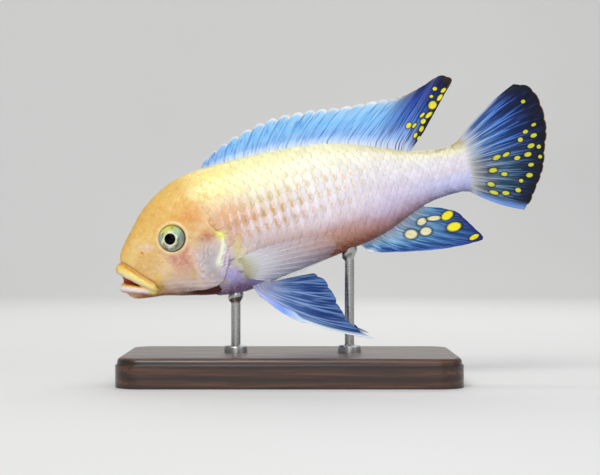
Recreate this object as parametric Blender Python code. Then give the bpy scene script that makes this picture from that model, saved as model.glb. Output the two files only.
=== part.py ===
"""Red zebra cichlid at life size, swimming nose down, held over a flat base by two short rods.

Blender 4.5 script in metres, +Z up. The fish is drawn in its own millimetres: s runs back from the
tip of the nose along the body, y is to its right and h is up. place() tilts that frame nose down,
bends the tail a little aside and sets the fish over the stand. The origin is under the base's middle.
"""

import math

import bmesh
import bpy
from mathutils import Matrix, Vector
from mathutils.bvhtree import BVHTree

# Driving dimensions: the outlines below are in millimetres for a fish of DRAWN_LENGTH
TOTAL_LENGTH = 126.0
DRAWN_LENGTH = 126.0
MM = 0.001 * TOTAL_LENGTH / DRAWN_LENGTH
GAP = 0.3  # kept between nodes that touch
SLIVER = 0.004

# Where the tip of the nose is over the base, how far the nose points down, and how the tail swings
NOSE_X = -48.7
NOSE_Z = 33.2
NOSE_DOWN = math.radians(15.0)
SWING_START = 42.0
SWING_AT_TAIL = 3.2
TAIL_BASE = 99.4

# Landmarks from the mouth back. The crown runs over the head and back, the keel under the chin and
# belly, and the side along the widest line. Each is (s, h), and the last number is the half width.
STATIONS = (
    ((0.95, -5.4), (0.9, -6.4), (7.9, -10.2), 2.4),  # back of the mouth
    ((0.85, -4.8), (0.8, -7.1), (8.4, -10.5), 3.6),  # inside the mouth
    ((1.5, -3.2), (1.2, -8.4), (9.2, -10.8), 4.6),  # under the lips
    ((1.75, -1.2), (1.5, -10.1), (10.0, -10.2), 5.3),  # behind the lips
    ((2.45, 1.4), (3.0, -11.8), (10.9, -9.0), 5.8),  # snout and chin
    ((5.6, 5.3), (7.2, -12.7), (12.4, -6.8), 6.4),  # nostrils
    ((10.2, 10.3), (11.2, -13.2), (14.8, -4.2), 7.0),  # in front of the eyes
    ((15.7, 14.3), (16.0, -14.5), (18.2, -2.2), 7.5),  # eyes
    ((21.4, 16.8), (21.0, -16.1), (22.6, -1.0), 7.9),  # cheeks
    ((26.3, 17.9), (26.0, -17.1), (27.0, 0.0), 8.3),  # gill covers
    ((31.5, 18.3), (31.5, -17.8), (31.5, 0.4), 8.5),  # shoulders
    ((37.0, 18.4), (37.0, -17.6), (37.0, 0.6), 8.5),
    ((45.0, 18.3), (45.0, -16.4), (45.0, 0.8), 8.1),  # vent side of the belly
    ((55.0, 17.6), (55.0, -15.3), (55.0, 0.9), 7.2),
    ((65.0, 16.1), (65.0, -14.0), (65.0, 0.9), 6.0),  # front of the anal fin
    ((74.0, 13.4), (74.0, -12.4), (74.0, 0.8), 4.8),
    ((81.0, 10.6), (81.0, -9.8), (81.0, 0.5), 3.8),
    ((87.0, 8.2), (87.0, -7.6), (87.0, 0.3), 3.0),  # back of the dorsal fin
    ((93.0, 6.8), (93.0, -6.7), (93.0, 0.0), 2.4),  # tail stalk
    ((TAIL_BASE, 6.6), (TAIL_BASE, -6.7), (TAIL_BASE, 0.0), 1.7),
)
BACK_POWER = 2.0  # roundness of the sections above the side line, and below it
BELLY_POWER = 2.15
FRONT_POWER = 1.3  # bluntness of the snout seen from above: 1 is round and 2 is pointed
BODY_SIDES = 36
HEAD_RINGS = 24  # rings to the shoulders, and on from there
TRUNK_RINGS = 17
BEHIND_MOUTH = 12  # first ring of the grown and shrunk bodies that shape the gill covers
SHOULDER_STATION = 10

# The gill slit's rear line, which parts head from trunk, and the plane that parts off the tail stalk
GILL_LINE = (
    (27.8, 24.0),
    (28.6, 14.0),
    (29.9, 4.0),
    (32.0, -1.5),
    (32.1, -6.5),
    (30.9, -10.8),
    (28.0, -14.8),
    (24.0, -21.0),
)
STALK_CUT = 88.6
COVER_FRONT = ((29.0, 1.9), (25.6, 1.0), (23.2, -2.4), (22.0, -7.2), (22.6, -11.8), (25.8, -14.0))
COVER_RAISED = 0.45
COVER_DEPTH = 1.1

# Lips: middle line of each from the front of the mouth to its corner, and the radius at both ends
UPPER_LIP = {"front": (1.55, -2.9), "corner": (9.2, -10.2), "radii": (1.6, 1.0), "half_width": 4.55}
LOWER_LIP = {"front": (1.0, -8.1), "corner": (9.0, -11.3), "radii": (1.3, 0.9), "half_width": 4.1}
LIP_STEPS = 17
LIP_SIDES = 8
LIP_PAST_CORNER = 1.12  # the ends run this far on, into the cheek

NOSTRIL = (8.5, -0.4)
NOSTRIL_RIM = 0.95  # radius of the raised rim, a ball sunk in the skin, and of the pit in it
NOSTRIL_RIM_SUNK = 0.6
NOSTRIL_PIT = 0.5
NOSTRIL_PIT_OUT = 0.3
EYE = (17.7, 1.5)
EYE_RADIUS = 3.75
EYE_HALF_DEPTH = 2.9
EYE_PROUD = 1.15
EYE_TURN = math.radians(7.0)  # forward, and the same up
ORBIT_RIM = 0.42

# Fin rays as (position among the rays, root s, root h, tip s, tip h, bow of the ray's middle).
# A dorsal or anal ray has no root h here, because its root follows the back or belly.
DORSAL_SPINES = 17
DORSAL = (
    (0, 30.0, 0, 31.0, 19.9, 0),
    (1, 31.9, 0, 33.6, 21.4, 0.1),
    (3, 36.5, 0, 39.6, 23.9, 0.2),
    (6, 45.2, 0, 51.1, 26.4, 0.3),
    (9, 53.7, 0, 62.2, 26.1, 0.3),
    (12, 62.1, 0, 72.1, 24.6, 0.3),
    (15, 70.3, 0, 82.6, 23.8, 0.3),
    (17, 75.4, 0, 88.8, 23.2, 0.3),
    (19, 79.6, 0, 94.6, 24.4, 0.3),
    (21, 83.6, 0, 100.6, 26.1, 0.3),
    (22, 85.2, 0, 103.4, 24.2, 0.2),
    (23, 86.1, 0, 100.4, 20.9, 0.1),
    (24, 86.7, 0, 96.7, 17.0, 0),
    (25, 87.2, 0, 91.9, 12.0, 0),
)
ANAL = (
    (0, 67.2, 0, 68.8, -16.2, 0),
    (1, 69.0, 0, 73.4, -17.4, 0),
    (2, 70.9, 0, 79.0, -18.7, -0.2),
    (4, 74.6, 0, 89.6, -20.6, -0.4),
    (6, 79.0, 0, 99.5, -21.0, -0.5),
    (7, 81.3, 0, 100.3, -19.8, -0.4),
    (8, 83.4, 0, 97.8, -15.6, -0.2),
    (9, 85.2, 0, 95.3, -11.8, 0),
    (10, 86.4, 0, 91.2, -9.4, 0),
)
TAIL_FIN = (
    (0, 99.7, 6.6, 119.9, 18.7, 1.0),
    (1, 99.7, 5.6, 123.7, 17.2, 0.7),
    (2, 99.7, 4.6, 125.8, 13.3, 0.4),
    (4, 99.7, 2.6, 126.0, 5.3, 0.1),
    (6, 99.7, 0.6, 124.0, -0.6, 0),
    (8, 99.7, -1.6, 121.8, -6.3, -0.1),
    (10, 99.7, -3.8, 118.2, -11.3, -0.4),
    (11, 99.7, -5.2, 116.1, -14.0, -0.6),
    (12, 99.7, -6.6, 113.6, -15.9, -0.8),
)
PECTORAL = (
    (0, 33.6, -8.4, 49.0, -7.3, 0.6),
    (2, 33.6, -9.6, 57.4, -8.2, 0.6),
    (4, 33.8, -10.9, 60.4, -11.2, 0.4),
    (6, 34.1, -12.1, 57.6, -14.4, 0.1),
    (8, 34.5, -13.2, 50.6, -16.4, -0.2),
    (10, 35.0, -14.2, 43.4, -17.2, -0.3),
)
PELVIC = (
    (0, 34.9, -17.6, 63.4, -38.4, -2.6),
    (1, 35.9, -17.6, 59.4, -34.2, -1.8),
    (2, 36.9, -17.5, 57.2, -29.6, -1.0),
    (3, 37.9, -17.4, 56.3, -25.0, -0.4),
    (4, 38.9, -17.3, 55.0, -20.6, 0.2),
    (5, 39.9, -17.1, 52.6, -17.9, 0.2),
)
SPINE_COLUMNS = ((0.0, 0.3), (0.3, 0.0), (0.66, 0.12), (0.92, 1.0))  # place past a ray, depth of edge
SOFT_COLUMNS = ((0.0, 0.0), (0.5, 1.0))
FIRST_LOBE = 1.0  # depth of the notches between the dorsal lobes, at the front and at the back
LAST_LOBE = 0.5
SOFT_LOBE = 0.3
DORSAL_ROOT_HALF = 0.8  # half thicknesses at the roots
ANAL_ROOT_HALF = 0.7
TAIL_ROOT_HALF = 1.45
PECTORAL_ROOT_HALF = 0.45
PELVIC_ROOT_HALF = 0.7
MEMBRANE_EDGE = 0.5
RAY_RIDGE = 0.5  # a ray stands out by half of this on each face
PECTORAL_OUT = math.radians(9.0)
PELVIC_OUT = math.radians(17.0)
PELVIC_ROOT_Y = 2.3

# Display stand
BASE_LENGTH = 92.0
BASE_WIDTH = 52.0
BASE_HEIGHT = 8.0
BASE_CORNER = 7.0
BASE_BEVEL = 1.2
ROD_AT = ((-14.9, 0.0), (16.4, 0.5))
ROD_RADIUS = 1.3
COLLAR_RADIUS = 3.2
COLLAR_HEIGHT = 1.8
COLLAR_BEVEL = 0.5
PAD_RADIUS = 2.1
PAD_HEIGHT = 1.4
NECK_HEIGHT = 1.2
ROD_SIDES = 16


def smooth(keys, x):
    """The values at x on the smooth curve through keys, which are rows of (x, value, value, ...)."""
    last = len(keys) - 1
    i = next((n for n in range(1, last) if x < keys[n][0]), last) - 1
    start, end = keys[i], keys[i + 1]
    span = end[0] - start[0]
    f = (x - start[0]) / span
    found = []
    for a, b, into, out in zip(start[1:], end[1:], slopes(keys, i), slopes(keys, i + 1)):
        into, out = into * span, out * span
        found.append(a + f * (into + f * (3 * (b - a) - 2 * into - out + f * (2 * (a - b) + into + out))))
    return found


def slopes(keys, i):
    before, after = keys[max(i - 1, 0)], keys[min(i + 1, len(keys) - 1)]
    return [(b - a) / (after[0] - before[0]) for a, b in zip(before[1:], after[1:])]


def swing(s):
    """How far the body's middle has moved to the right at s, as the tail swings aside."""
    return SWING_AT_TAIL * (max(0.0, s - SWING_START) / (TAIL_BASE - SWING_START)) ** 2


def place(s, y, h):
    """A point of the fish, in its own millimetres, as a point of the model in metres."""
    x = NOSE_X + s * math.cos(NOSE_DOWN) - h * math.sin(NOSE_DOWN)
    z = NOSE_Z + s * math.sin(NOSE_DOWN) + h * math.cos(NOSE_DOWN)
    return Vector((x, y + swing(s), z)) * MM


UP = (place(0, 0, 1) - place(0, 0, 0)).normalized()


def station_keys():
    """STATIONS as rows for smooth(), by the mean distance run along crown and keel."""
    keys, run = [], 0.0
    for i, (crown, keel, side, half_width) in enumerate(STATIONS):
        if i:
            run += (math.dist(crown, STATIONS[i - 1][0]) + math.dist(keel, STATIONS[i - 1][1])) / 2
        keys.append((run, *crown, *keel, *side, half_width))
    return keys


STATION_KEYS = station_keys()


def body_point(run, v):
    """The skin at a distance along the body and an angle round it: 0 the back, pi the belly."""
    crown_s, crown_h, keel_s, keel_h, side_s, side_h, half_width = smooth(STATION_KEYS, run)
    c, n = math.cos(v), math.sin(v)
    far_s, far_h, power = (crown_s, crown_h, BACK_POWER) if c > 0 else (keel_s, keel_h, BELLY_POWER)
    s = side_s + (far_s - side_s) * abs(c) ** FRONT_POWER
    h = side_h + (far_h - side_h) * abs(c) ** (2 / power)
    return Vector((s, math.copysign(half_width * abs(n) ** (2 / power), n), h))


def ring_runs():
    """Distances along the body of its mesh rings, close on the head and wider behind it."""
    head_end, tail_end = STATION_KEYS[SHOULDER_STATION][0], STATION_KEYS[-1][0]
    head = [head_end * (i / HEAD_RINGS) for i in range(HEAD_RINGS)]
    return head + [head_end + (tail_end - head_end) * i / TRUNK_RINGS for i in range(TRUNK_RINGS + 1)]


def material(name, colour, roughness, metallic=0.0):
    made = bpy.data.materials.get(name) or bpy.data.materials.new(name)
    made.use_nodes = True
    shader = made.node_tree.nodes["Principled BSDF"]
    shader.inputs["Base Color"].default_value = (*colour, 1.0)
    shader.inputs["Roughness"].default_value = roughness
    shader.inputs["Metallic"].default_value = metallic
    return made


def head_skin():
    return material("golden_skin", (0.80, 0.48, 0.16), 0.38)


def body_skin():
    return material("pale_skin", (0.86, 0.72, 0.60), 0.35)


def blue_fin():
    return material("blue_fin", (0.22, 0.42, 0.78), 0.40)


def pale_fin():
    return material("pale_fin", (0.66, 0.70, 0.78), 0.40)


def eye_shine():
    return material("eye", (0.34, 0.40, 0.30), 0.08)


def dark_wood():
    return material("dark_wood", (0.07, 0.035, 0.02), 0.35)


def steel():
    return material("steel", (0.62, 0.62, 0.60), 0.28, 1.0)


def solid(name, points, faces, finish=None, is_smooth=True):
    """A mesh object from points in metres and faces, with its faces turned to point out."""
    mesh = bpy.data.meshes.new(name)
    mesh.from_pydata([tuple(p) for p in points], [], faces)
    work = bmesh.new()
    work.from_mesh(mesh)
    bmesh.ops.recalc_face_normals(work, faces=work.faces)
    if work.calc_volume(signed=True) < 0:
        bmesh.ops.reverse_faces(work, faces=work.faces)
    work.to_mesh(mesh)
    work.free()
    if is_smooth:
        mesh.shade_smooth()
    if finish:
        mesh.materials.append(finish)
    made = bpy.data.objects.new(name, mesh)
    bpy.context.scene.collection.objects.link(made)
    return made


def lofted(name, rings, finish=None):
    """A closed solid through rings of points, each with the same count, with flat fans at both ends."""
    sides = len(rings[0])
    points = [p for ring in rings for p in ring]
    faces = []
    for r in range(len(rings) - 1):
        for k in range(sides):
            a, b = r * sides + k, r * sides + (k + 1) % sides
            faces.append((a, b, b + sides, a + sides))
    for ring, first in ((rings[0], 0), (rings[-1], (len(rings) - 1) * sides)):
        points.append(sum(ring, Vector()) / sides)
        faces += [(first + k, first + (k + 1) % sides, len(points) - 1) for k in range(sides)]
    return solid(name, points, faces, finish)


def body_loft(name, grow=0.0, first_ring=0):
    """The body from its first ring to the tail stalk, with its skin moved out by grow."""
    rings = []
    for run in ring_runs()[first_ring:]:
        ring = []
        for k in range(BODY_SIDES):
            v = 2 * math.pi * k / BODY_SIDES
            point = body_point(run, v)
            if grow:
                along = body_point(run + 0.05, v) - body_point(run - 0.05, v)
                across = body_point(run, v + 0.01) - body_point(run, v - 0.01)
                point = point + along.cross(across).normalized() * grow
            ring.append(place(*point))
        rings.append(ring)
    return lofted(name, rings)


def prism(name, outline, low_y=-40.0, high_y=40.0):
    """A block whose side view is outline, a closed list of (s, h), from low_y to high_y."""
    rings = [[place(s, y, h) for s, h in outline] for y in (low_y, high_y)]
    n = len(outline)
    faces = [(k, (k + 1) % n, (k + 1) % n + n, k + n) for k in range(n)]
    faces += [tuple(range(n)), tuple(range(n, 2 * n))]
    return solid(name, rings[0] + rings[1], faces, is_smooth=False)


def curve_through(points, steps):
    """Points on the smooth curve through the given ones, evenly spaced by their number."""
    keys = [(i, *p) for i, p in enumerate(points)]
    return [tuple(smooth(keys, (len(points) - 1) * i / steps)) for i in range(steps + 1)]


def shifted(points, amount):
    """A line of (s, h) points moved towards the tail by amount."""
    return [(s + amount, h) for s, h in points]


def combine(target, others, operation):
    """Applies one exact Boolean of target with all of others, which are then removed."""
    group = bpy.data.collections.new("pieces")
    for other in others:
        group.objects.link(other)
    change = target.modifiers.new("combine", "BOOLEAN")
    change.operation = operation
    change.operand_type = "COLLECTION"
    change.collection = group
    change.solver = "EXACT"
    bpy.context.view_layer.update()
    graph = bpy.context.evaluated_depsgraph_get()
    result = bpy.data.meshes.new_from_object(target.evaluated_get(graph))
    target.modifiers.clear()
    target.data = result
    for other in others:
        bpy.data.objects.remove(other)
    bpy.data.collections.remove(group)
    return target


def keep_largest(target):
    """Welds the slivers that cuts leave, and drops all but an object's largest closed surface."""
    work = bmesh.new()
    work.from_mesh(target.data)
    bmesh.ops.remove_doubles(work, verts=work.verts, dist=SLIVER * MM)
    bmesh.ops.dissolve_degenerate(work, edges=work.edges, dist=SLIVER * MM)
    left, groups = set(work.faces), []
    while left:
        group, edge = set(), [left.pop()]
        while edge:
            face = edge.pop()
            group.add(face)
            near = {f for e in face.edges for f in e.link_faces} & left
            left -= near
            edge += near
        groups.append(group)
    groups.sort(key=len)
    bmesh.ops.delete(work, geom=[f for g in groups[:-1] for f in g], context="FACES")
    work.to_mesh(target.data)
    work.free()
    return target


def finish_with(target, name, finish):
    target.name = name
    target.data.name = name
    target.data.materials.clear()
    target.data.materials.append(finish)
    target.data.shade_smooth()
    target.data.set_sharp_from_angle(angle=math.radians(40))
    return target


def tree_of(target):
    """The surface of an object's mesh, for finding where a line meets it."""
    work = bmesh.new()
    work.from_mesh(target.data)
    tree = BVHTree.FromBMesh(work)
    work.free()
    return tree


def skin_h(tree, s, y, side):
    """Height of the skin at (s, y): of the back for side 1, of the belly for side -1, else 0."""
    start = place(s, y, 60.0 * side)
    hit = tree.ray_cast(start, -UP * side)[0]
    return side * (60.0 - (hit - start).length / MM) if hit else 0.0


def skin_y(tree, s, h, side):
    """Sideways place of the skin at (s, h), on the right for side 1 and on the left for -1."""
    start = place(s, 40.0 * side, h)
    hit = tree.ray_cast(start, Vector((0.0, -side, 0.0)))[0]
    return side * (40.0 - (hit - start).length / MM) if hit else 0.0


def tube(name, path, radii, sides, across=Vector((0.0, 1.0, 0.0))):
    """A closed tube of changing radius along path, both in the fish's millimetres."""
    rings = []
    for i, (centre, radius) in enumerate(zip(path, radii)):
        ahead = (path[min(i + 1, len(path) - 1)] - path[max(i - 1, 0)]).normalized()
        first = ahead.cross(across).normalized()
        second = ahead.cross(first)
        turns = [2 * math.pi * k / sides for k in range(sides)]
        ring = [centre + radius * (first * math.cos(a) + second * math.sin(a)) for a in turns]
        rings.append([place(*p) for p in ring])
    return lofted(name, rings)


def lip(name, shape):
    """One lip, a tapered tube that runs round the front of the mouth from corner to corner."""
    (front_s, front_h), (corner_s, corner_h) = shape["front"], shape["corner"]
    front_radius, corner_radius = shape["radii"]
    path, radii = [], []
    for i in range(LIP_STEPS + 1):
        share = (2 * i / LIP_STEPS - 1) * LIP_PAST_CORNER
        turn = share * math.pi / 2
        back = 1 - math.cos(turn)
        sunk = max(0.0, abs(share) - 1) / (LIP_PAST_CORNER - 1)
        s = front_s + (corner_s - front_s) * back
        y = shape["half_width"] * math.sin(turn) * (1 - 0.2 * sunk)
        path.append(Vector((s, y, front_h + (corner_h - front_h) * back)))
        radius = corner_radius + (front_radius - corner_radius) * max(0.0, math.cos(turn))
        radii.append(radius * (1 - 0.45 * sunk))
    return tube(name, path, radii, LIP_SIDES, across=Vector((0.35, 0.0, 1.0)).normalized())


def ball(name, centre, radii, side, sides=16, rings=10, turned=0.0):
    """An ellipsoid about centre, in the fish's millimetres, its y axis turned forward and up."""
    work = bmesh.new()
    bmesh.ops.create_uvsphere(work, u_segments=sides, v_segments=rings, radius=1.0)
    work.transform(Matrix.Rotation(math.pi / 2, 4, "X"))
    work.transform(Matrix.Diagonal((*radii, 1.0)))
    work.transform(Matrix.Rotation(turned * side, 4, "Z") @ Matrix.Rotation(turned * side, 4, "X"))
    points = [place(*(centre + v.co)) for v in work.verts]
    faces = [tuple(v.index for v in f.verts) for f in work.faces]
    work.free()
    return solid(name, points, faces)


def eye_centre(tree, side):
    surface = skin_y(tree, *EYE, side)
    return Vector((EYE[0], surface + side * (EYE_PROUD - EYE_HALF_DEPTH), EYE[1]))


def eye_radii(grow=0.0):
    return (EYE_RADIUS + grow, EYE_HALF_DEPTH + grow, EYE_RADIUS + grow)


def orbit_rim(tree, side):
    """The raised ring of skin round the eye."""
    path = []
    steps = 20
    for i in range(steps):
        turn = 2 * math.pi * i / steps
        s = EYE[0] + (EYE_RADIUS + 0.15) * math.cos(turn)
        h = EYE[1] + (EYE_RADIUS + 0.15) * math.sin(turn)
        path.append(Vector((s, skin_y(tree, s, h, side), h)))
    rings = []
    for i, centre in enumerate(path):
        outward = Vector((centre.x - EYE[0], 0.0, centre.z - EYE[1])).normalized()
        sideways = Vector((0.0, side, 0.0))
        turns = [2 * math.pi * k / 6 for k in range(6)]
        ring = [centre + ORBIT_RIM * (outward * math.cos(a) + sideways * math.sin(a)) for a in turns]
        rings.append([place(*p) for p in ring])
    points = [p for ring in rings for p in ring]
    faces = []
    for i in range(steps):
        for k in range(6):
            a, b = i * 6 + k, i * 6 + (k + 1) % 6
            c, d = ((i + 1) % steps) * 6 + (k + 1) % 6, ((i + 1) % steps) * 6 + k
            faces.append((a, b, c, d))
    return solid("orbit", points, faces)


def cover_outline(grow=0.0):
    """Side view of a gill cover, from the cheek back to the gill slit, grown on every side."""
    rear = [p for p in curve_through(GILL_LINE, 28) if -13.6 - grow < p[1] < 1.5 + grow]
    front = curve_through(COVER_FRONT, 15)
    reach = 3.0 if grow else -GAP / 2
    return [(s - grow, h + math.copysign(grow, h + 5.0)) for s, h in front] + shifted(rear[::-1], reach)


def make_flesh():
    """Head, gill covers, trunk and tail stalk, cut from one body so that they meet all round."""
    whole = body_loft("whole")
    tree = tree_of(whole)
    gill = curve_through(GILL_LINE, 28)
    front_block = shifted(gill, -GAP / 2) + [(-30.0, -60.0), (-30.0, 60.0)]
    rear_block = shifted(gill, GAP / 2) + [
        (STALK_CUT - GAP / 2, -60.0),
        (STALK_CUT - GAP / 2, 60.0),
    ]
    stalk_block = [(STALK_CUT + GAP / 2, -60.0), (200.0, -60.0), (200.0, 60.0), (STALK_CUT + GAP / 2, 60.0)]
    parts = {}
    for name, outline in (("head", front_block), ("trunk", rear_block), ("tail_stalk", stalk_block)):
        parts[name] = whole.copy()
        parts[name].data = whole.data.copy()
        bpy.context.scene.collection.objects.link(parts[name])
        combine(parts[name], [prism("block", outline)], "INTERSECT")
    for name, side in (("gill_cover_left", -1), ("gill_cover_right", 1)):
        near, far = sorted((side * 2.0, side * 30.0))
        cover = body_loft(name, COVER_RAISED, BEHIND_MOUTH)
        combine(cover, [prism("block", cover_outline(), near, far)], "INTERSECT")
        combine(cover, [body_loft("core", -COVER_DEPTH, BEHIND_MOUTH)], "DIFFERENCE")
        parts[name] = cover
        recess = prism("recess", cover_outline(GAP), near, far)
        combine(recess, [body_loft("core", -COVER_DEPTH - GAP, BEHIND_MOUTH)], "DIFFERENCE")
        combine(parts["head"], [recess], "DIFFERENCE")
    bpy.data.objects.remove(whole)
    return parts, tree


def finish_head(head, tree):
    """Joins lips, nostril rims and orbit rims to the head, then opens its nostrils and eye sockets."""
    added = [lip("upper_lip", UPPER_LIP), lip("lower_lip", LOWER_LIP)]
    cuts = []
    for side in (-1, 1):
        skin = skin_y(tree, *NOSTRIL, side)
        rim = Vector((NOSTRIL[0], skin - side * NOSTRIL_RIM_SUNK, NOSTRIL[1]))
        pit = Vector((NOSTRIL[0], skin + side * NOSTRIL_PIT_OUT, NOSTRIL[1]))
        added.append(ball("rim", rim, (NOSTRIL_RIM,) * 3, side, 10, 6))
        cuts.append(ball("pit", pit, (NOSTRIL_PIT, 1.0, NOSTRIL_PIT), side, 7, 6))
        added.append(orbit_rim(tree, side))
        cuts.append(ball("socket", eye_centre(tree, side), eye_radii(GAP), side, 20, 10, EYE_TURN))
    combine(head, added, "UNION")
    combine(head, cuts, "DIFFERENCE")
    return head


def make_eyes(tree):
    for name, side in (("eye_left", -1), ("eye_right", 1)):
        eye = ball(name, eye_centre(tree, side), eye_radii(), side, 20, 10, EYE_TURN)
        finish_with(eye, name, eye_shine())


def fin(name, columns, rows, point, half, finish):
    """A closed sheet. point(position, r) gives its middle surface from root, r 0, to edge, r 1, in the
    fish's millimetres, and half(position, r) half its thickness. Both faces are split alike."""
    left, right = [], []
    for p in columns:
        for j in range(rows + 1):
            s, y, h = point(p, j / rows)
            thick = half(p, j / rows)
            left.append(place(s, y - thick, h))
            right.append(place(s, y + thick, h))
    n, side = rows + 1, len(left)
    faces = []
    for c in range(len(columns) - 1):
        for j in range(rows):
            a, b, d, e = c * n + j, (c + 1) * n + j, (c + 1) * n + j + 1, c * n + j + 1
            faces += [(a, b, d), (a, d, e), (side + a, side + d, side + b), (side + a, side + e, side + d)]
    rim = [c * n for c in range(len(columns))]
    rim += [(len(columns) - 1) * n + j for j in range(1, n)]
    rim += [c * n + rows for c in range(len(columns) - 2, -1, -1)]
    rim += [j for j in range(rows - 1, 0, -1)]
    for a, b in zip(rim, rim[1:] + rim[:1]):
        faces += [(a, b, side + b), (a, side + b, side + a)]
    return finish_with(solid(name, left + right, faces), name, finish)


def columns_for(rays, spines=0):
    """Places of a fin's mesh columns, closer together between spines than between soft rays."""
    spiny = [i + f for i in range(spines) for f, _ in SPINE_COLUMNS]
    return spiny + [i + f for i in range(spines, rays - 1) for f, _ in SOFT_COLUMNS] + [float(rays - 1)]


def is_ray(position):
    return abs(position - round(position)) < 0.01


def notch(position, depths, amount):
    """How far the edge dips at a position between two rays, of the most that it dips."""
    part = position - math.floor(position + 0.01)
    return amount * next((depth for place_of, depth in depths if abs(place_of - part) < 0.02), 0.0)


def ray_line(keys, position, r, drop):
    """(s, h) at share r of the ray at a position, its tip lowered by drop and its middle bowed."""
    root_s, root_h, tip_s, tip_h, bow = smooth(keys, position)
    along = Vector((tip_s - root_s, tip_h - root_h))
    r *= 1 - drop / along.length
    outward = Vector((-along.y, along.x)).normalized()
    point = Vector((root_s, root_h)) + along * r + outward * bow * 4 * r * (1 - r)
    return point.x, point.y


def sheet_half(root_half):
    """Half thickness of a fin: root_half at its root, thinning to the edge, and thicker on the rays."""

    def half(position, r):
        membrane = root_half + (MEMBRANE_EDGE / 2 - root_half) * min(1.0, 2.2 * r)
        return membrane + (RAY_RIDGE / 2 * (1 - 0.6 * r) * min(1.0, 6 * r + 0.2) if is_ray(position) else 0.0)

    return half


def rooted(keys, tree, side):
    """Fin keys with each root's height taken from the back or belly, a gap away from it."""
    return [(p, rs, skin_h(tree, rs, 0.0, side) + side * GAP, ts, th, bow) for p, rs, _, ts, th, bow in keys]


def middle_fin(name, keys, spines, dip, tree, side, rows, root_half, finish):
    """A fin that stands in the body's middle plane and follows the back or belly along its root."""
    keys = rooted(keys, tree, side)

    def point(position, r):
        s, h = ray_line(keys, position, r, dip(position))
        if r == 0:
            h = skin_h(tree, s, 0.0, side) + side * GAP
        return s, 0.0, h

    last = keys[-1][0]
    thickness = sheet_half(root_half)

    def half(position, r):
        ends = min(1.0, 0.4 + 0.3 * min(position, last - position))
        return max(MEMBRANE_EDGE / 2, thickness(position, r) * ends)

    return fin(name, columns_for(last + 1, spines), rows, point, half, finish)


def dorsal_dip(position):
    """A rounded lobe of membrane stands behind each spine, with a notch before the next."""
    if position < DORSAL_SPINES:
        depth = FIRST_LOBE + (LAST_LOBE - FIRST_LOBE) * position / DORSAL_SPINES
        return notch(position, SPINE_COLUMNS, depth)
    return soft_dip(position)


def soft_dip(position):
    return notch(position, SOFT_COLUMNS, SOFT_LOBE)


def make_tail_fin():
    def point(position, r):
        s, h = ray_line(TAIL_FIN, position, r, soft_dip(position))
        return s, 0.0, h

    def half(position, r):
        stalk = TAIL_ROOT_HALF * math.sqrt(max(0.0, 1 - ((position - 6) / 6.6) ** 2))
        membrane = max(MEMBRANE_EDGE / 2, stalk * (1 - 3.2 * r))
        return membrane + (RAY_RIDGE / 2 * (1 - 0.6 * r) if is_ray(position) and r > 0 else 0.0)

    return fin("tail_fin", columns_for(13), 8, point, half, blue_fin())


def make_pectoral(name, side, tree):
    """A breast fin: its root lies on the flank behind the gill cover, and it stands out to its tip."""
    half = sheet_half(PECTORAL_ROOT_HALF)

    def point(position, r):
        root_s, root_h, tip_s, tip_h, _ = smooth(PECTORAL, position)
        s, h = ray_line(PECTORAL, position, r, soft_dip(position))
        length = math.dist((root_s, root_h), (tip_s, tip_h)) * r
        lift = abs(skin_y(tree, root_s, root_h, side)) + length * math.tan(PECTORAL_OUT)
        clear = abs(skin_y(tree, s, h, side)) + GAP + half(position, r) + 0.05
        return s, side * max(lift, clear), h

    return fin(name, columns_for(11), 7, point, half, pale_fin())


def make_pelvic(name, side, tree):
    """A belly fin: its root follows the belly beside the middle, and it hangs down and out."""

    def point(position, r):
        root_s, root_h, tip_s, tip_h, _ = smooth(PELVIC, position)
        s, h = ray_line(PELVIC, position, r, soft_dip(position))
        y = PELVIC_ROOT_Y + math.dist((root_s, root_h), (tip_s, tip_h)) * r * math.sin(PELVIC_OUT)
        below = skin_h(tree, s, side * y, -1) - GAP - 0.1
        if r == 0:
            h = below
        return s, side * y, min(h, below) if r < 0.5 else h

    return fin(name, columns_for(6), 8, point, sheet_half(PELVIC_ROOT_HALF), pale_fin())


def rounded_outline(length, width, corner, steps=6):
    """Corners of a rounded rectangle about the origin."""
    points = []
    for quarter, (sx, sy) in enumerate(((1, 1), (-1, 1), (-1, -1), (1, -1))):
        for i in range(steps + 1):
            turn = math.pi / 2 * (quarter + i / steps)
            x = sx * (length / 2 - corner) + corner * math.cos(turn)
            y = sy * (width / 2 - corner) + corner * math.sin(turn)
            points.append((x, y))
    return points


def make_base():
    """The flat wooden base, its top edge bevelled."""
    levels = (
        (0.0, 0.0),
        (BASE_HEIGHT - BASE_BEVEL, 0.0),
        (BASE_HEIGHT - 0.3 * BASE_BEVEL, 0.3 * BASE_BEVEL),
        (BASE_HEIGHT, BASE_BEVEL),
    )
    rings = []
    for z, inset in levels:
        outline = rounded_outline(BASE_LENGTH - 2 * inset, BASE_WIDTH - 2 * inset, BASE_CORNER - inset)
        rings.append([Vector((x, y, z)) * MM for x, y in outline])
    return finish_with(lofted("stand_base", rings), "stand_base", dark_wood())


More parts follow.
